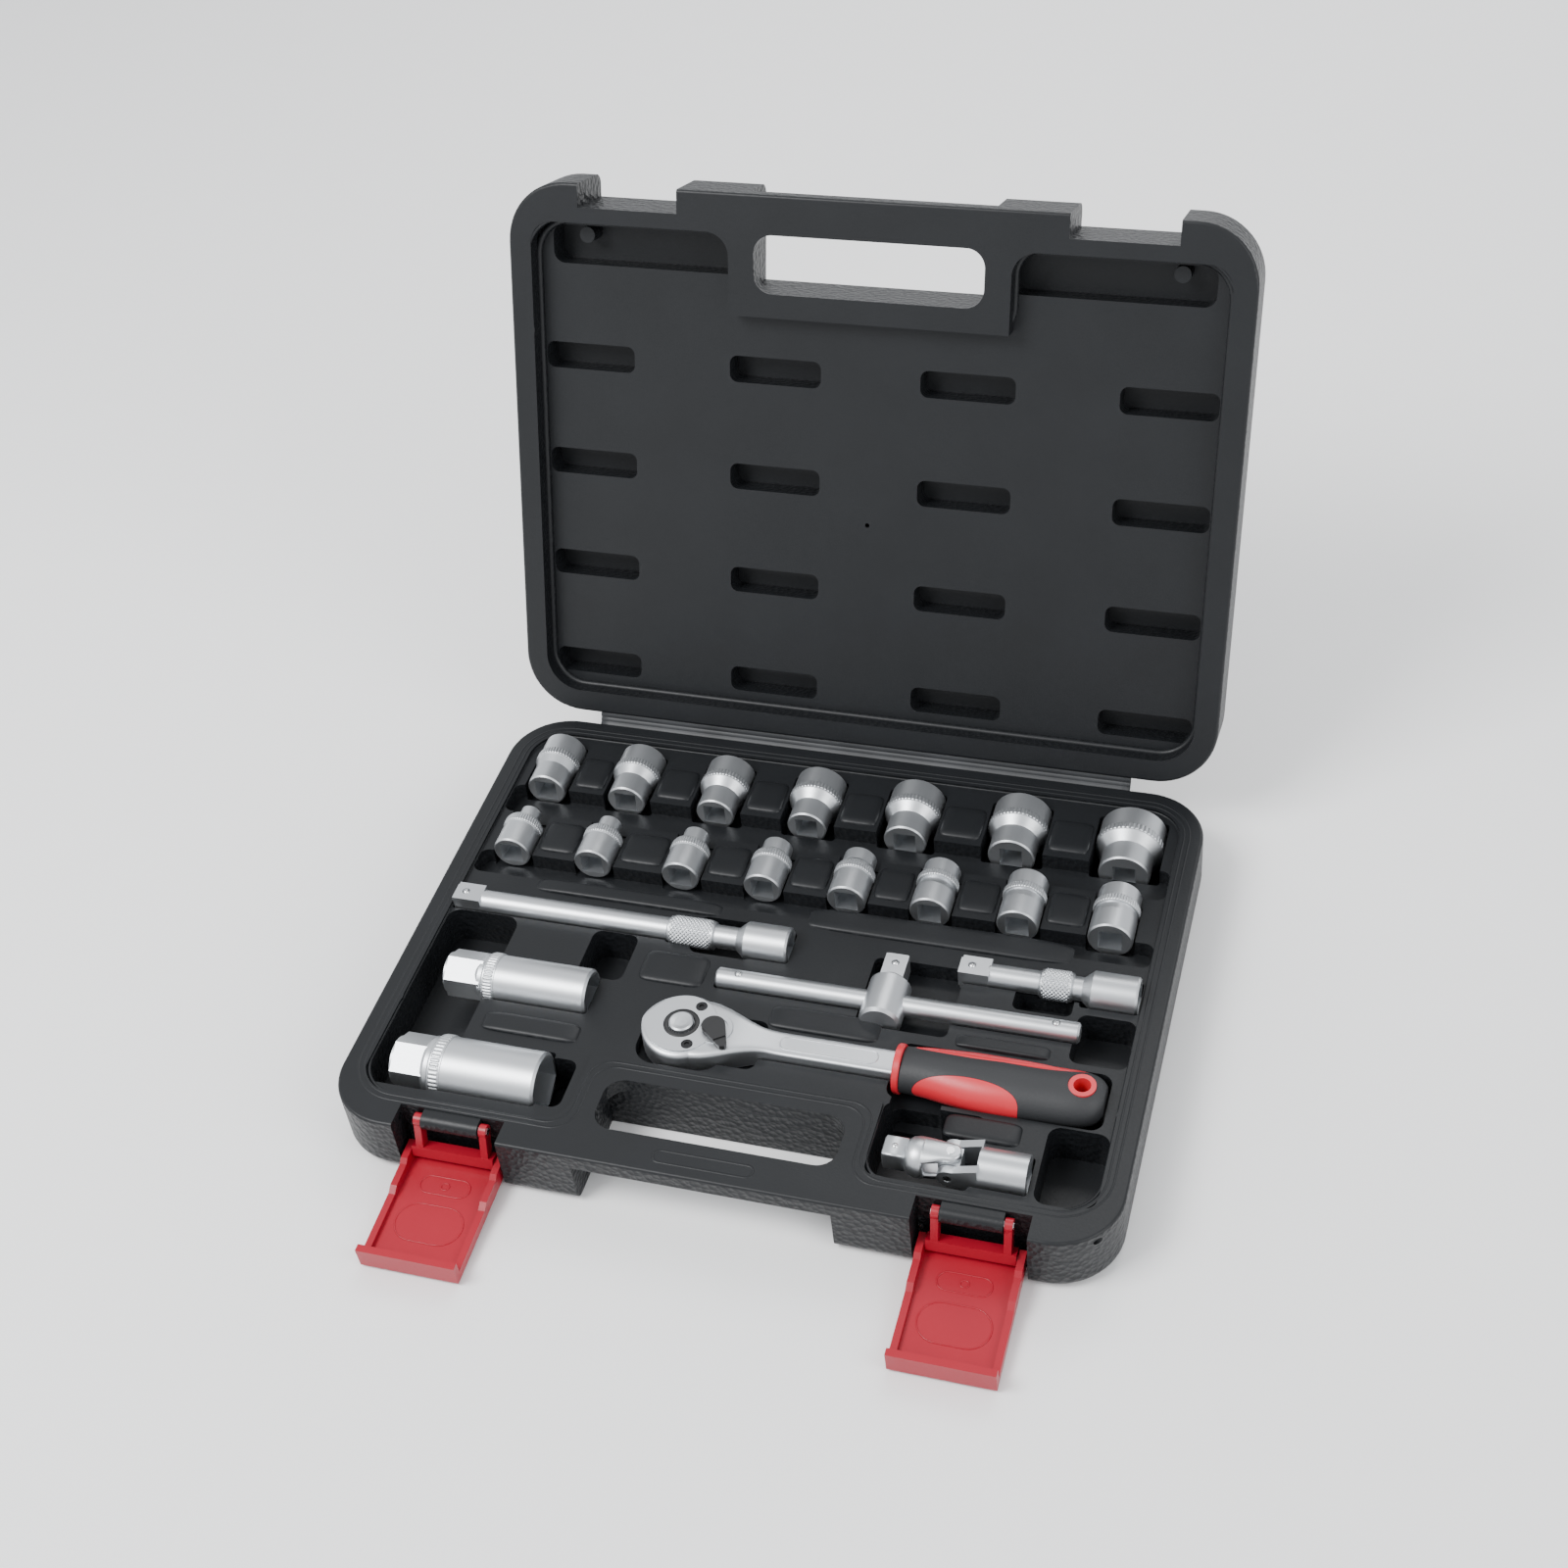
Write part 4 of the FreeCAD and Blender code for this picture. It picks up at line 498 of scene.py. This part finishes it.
class SOCKETSET_OT_latches(bpy.types.Operator):
    """Fine moulded outlines on the inner face of each latch lever"""
    bl_idname = "socketset.latches"
    bl_label = "Latch outlines"

    def execute(self, context):
        c, s = math.cos(LEVER_TURN), math.sin(LEVER_TURN)
        for side, tag in ((-1, "left"), (1, "right")):
            for number, outline in enumerate((pill(0.0, 12.5, 21.0, 8.0), pill(0.0, 30.0, 28.0, 17.0),
                                              pill(0.0, 12.5, 3.4, 3.0))):
                bead = sweep(outline, 0.32, 0.0)
                across, along, up = bead[..., 0], bead[..., 1], bead[..., 2] - LEVER_FACE
                points = np.stack([across + LATCH_X * side, LEVER_AXIS[0] + up * c - along * s,
                                   LEVER_AXIS[1] + up * s + along * c], axis=-1)
                name = "latch_outline_%s_%d" % (tag, number)
                grid_piece(name, points, True, True, "latch_red", "lever_" + tag)
        return {"FINISHED"}


class SOCKETSET_OT_fold(bpy.types.Operator):
    """Thin moulded hinge band between tray and lid, creased along its length"""
    bl_idname = "socketset.fold"
    bl_label = "Hinge band"

    def execute(self, context):
        x = np.linspace(-123.0, 123.0, 60)[None, :]
        t = np.linspace(0, 1, 16)[:, None]
        start, end = np.array([120.15, 26.0]), np.array([123.6, 31.75])
        sag = 0.9 * np.sin(np.pi * t) + 0.18 * np.cos(6 * np.pi * t)
        y = start[0] + (end[0] - start[0]) * t + sag * 0.85 + 0 * x
        z = start[1] + (end[1] - start[1]) * t - sag * 0.5 + 0 * x
        band = grid_piece("fold_band", np.stack([x + 0 * t, y, z], axis=-1), False, False, "hinge_black", None,
                          ["hinge_strip"])
        solid = band.modifiers.new("thickness", "SOLIDIFY")
        solid.thickness = 0.8 * MM
        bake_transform(band)
        return {"FINISHED"}


class SOCKETSET_OT_knurls(bpy.types.Operator):
    """Knurled bands of the sockets, spark plug sockets and extensions"""
    bl_idname = "socketset.knurls"
    bl_label = "Knurls"

    def execute(self, context):
        tool = context.scene.tool_settings_set
        for name in sorted(frame["nodes"]):
            if name.startswith("socket_"):
                lo, hi, mid = middle(name)
                radius = (hi[0] - lo[0]) / 2
                start, long = (12.9, 3.9) if int(name[-2:]) < 11 else (14.6, 3.6)
                ring = band_points(radius, start, long, tool.ridge_height / MM, tool.ridges, "straight")
                ring = along_y(ring, (mid[0], lo[1], mid[2]))
                grid_piece(name + "_knurl", ring, False, True, "socket_satin", name)
            elif name.startswith("plug_socket_"):
                lo, hi, mid = middle(name)
                radius = (hi[1] - lo[1]) / 2
                ring = band_points(radius, 18.3, 4.4, tool.ridge_height / MM, tool.ridges, "straight")
                body = "plug_" + name[-2:]
                ring = along_x(ring, (lo[0], mid[1], mid[2]))
                grid_piece(name + "_knurl", ring, False, True, "socket_satin", body)
        for name, body, start, end in (("extension_150", "long_extension", 97.8, 117.2),
                                       ("extension_75", "short_extension", 33.8, 46.2)):
            lo, hi, mid = middle(name)
            ring = band_points(5.9, start, end - start, 0.5, tool.diamonds, "diamond", 120)
            ring = along_x(ring, (lo[0], mid[1], mid[2]))
            grid_piece(name + "_knurl", ring, False, True, "tool_chrome", body)
        return {"FINISHED"}


class SOCKETSET_OT_stage(bpy.types.Operator):
    """Pale floor, soft studio light and the three-quarter camera"""
    bl_idname = "socketset.stage"
    bl_label = "Stage"

    def execute(self, context):
        scene = context.scene
        size = 6.0
        mesh = bpy.data.meshes.new("floor")
        corners = [(-size, -size, 0), (size, -size, 0), (size, size, 0), (-size, size, 0)]
        mesh.from_pydata(corners, [], [(0, 1, 2, 3)])
        mesh.materials.append(node_material("floor_paint", (0.93, 0.93, 0.93), 0.6, wear=0.01, bump=0.0))
        floor = bpy.data.objects.new("floor", mesh)
        floor.location.z = -0.0006
        scene.collection.objects.link(floor)
        world = bpy.data.worlds.new("studio")
        world.use_nodes = True
        world.node_tree.nodes["Background"].inputs["Color"].default_value = (0.95, 0.97, 1.0, 1.0)
        world.node_tree.nodes["Background"].inputs["Strength"].default_value = 0.95
        scene.world = world
        for name, spot, power, width in (("key", (-0.7, -0.6, 1.3), 26.0, 0.7),
                                         ("fill", (1.2, -0.5, 0.9), 9.0, 0.8),
                                         ("back", (0.1, 1.3, 1.2), 12.0, 1.0)):
            lamp = bpy.data.lights.new(name, "AREA")
            lamp.energy, lamp.size = power, width
            lamp_object = bpy.data.objects.new(name, lamp)
            lamp_object.location = spot
            aim = Vector((0, 0.05, 0.08)) - Vector(spot)
            lamp_object.rotation_euler = aim.to_track_quat("-Z", "Y").to_euler()
            scene.collection.objects.link(lamp_object)
        lens = bpy.data.cameras.new("camera")
        lens.lens = 52.01
        lens.clip_start, lens.clip_end = 0.01, 20.0
        camera = bpy.data.objects.new("camera", lens)
        right = Vector((0.95731, 0.27451, -0.09058))
        up = Vector((-0.12561, 0.67727, 0.72493))
        back = right.cross(up)
        turn = Matrix((right, up, back)).transposed().to_4x4()
        camera.matrix_world = Matrix.Translation((0.23532, -0.59266, 0.71668)) @ turn
        scene.collection.objects.link(camera)
        scene.camera = camera
        return {"FINISHED"}


class SOCKETSET_PT_panel(bpy.types.Panel):
    """Lists the build steps"""
    bl_idname = "SOCKETSET_PT_panel"
    bl_label = "Socket set"
    bl_space_type = "VIEW_3D"
    bl_region_type = "UI"
    bl_category = "Socket set"

    def draw(self, context):
        for step in STEPS:
            self.layout.operator(step.bl_idname)


STEPS = (SOCKETSET_OT_finishes, SOCKETSET_OT_rims, SOCKETSET_OT_pads, SOCKETSET_OT_fold, SOCKETSET_OT_knurls,
         SOCKETSET_OT_ratchet, SOCKETSET_OT_fork, SOCKETSET_OT_latches, SOCKETSET_OT_stage)
CLASSES = (CaseSettings, ToolSettings) + STEPS + (SOCKETSET_PT_panel,)


def register():
    for item in CLASSES:
        bpy.utils.register_class(item)
    bpy.types.Scene.case_settings = bpy.props.PointerProperty(type=CaseSettings)
    bpy.types.Scene.tool_settings_set = bpy.props.PointerProperty(type=ToolSettings)


def unregister():
    del bpy.types.Scene.case_settings
    del bpy.types.Scene.tool_settings_set
    for item in reversed(CLASSES):
        bpy.utils.unregister_class(item)


def main():
    """Build every piece in order."""
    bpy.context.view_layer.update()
    register()
    for step in STEPS:
        group, name = step.bl_idname.split(".")
        getattr(getattr(bpy.ops, group), name)()


if __name__ == "__main__":
    main()
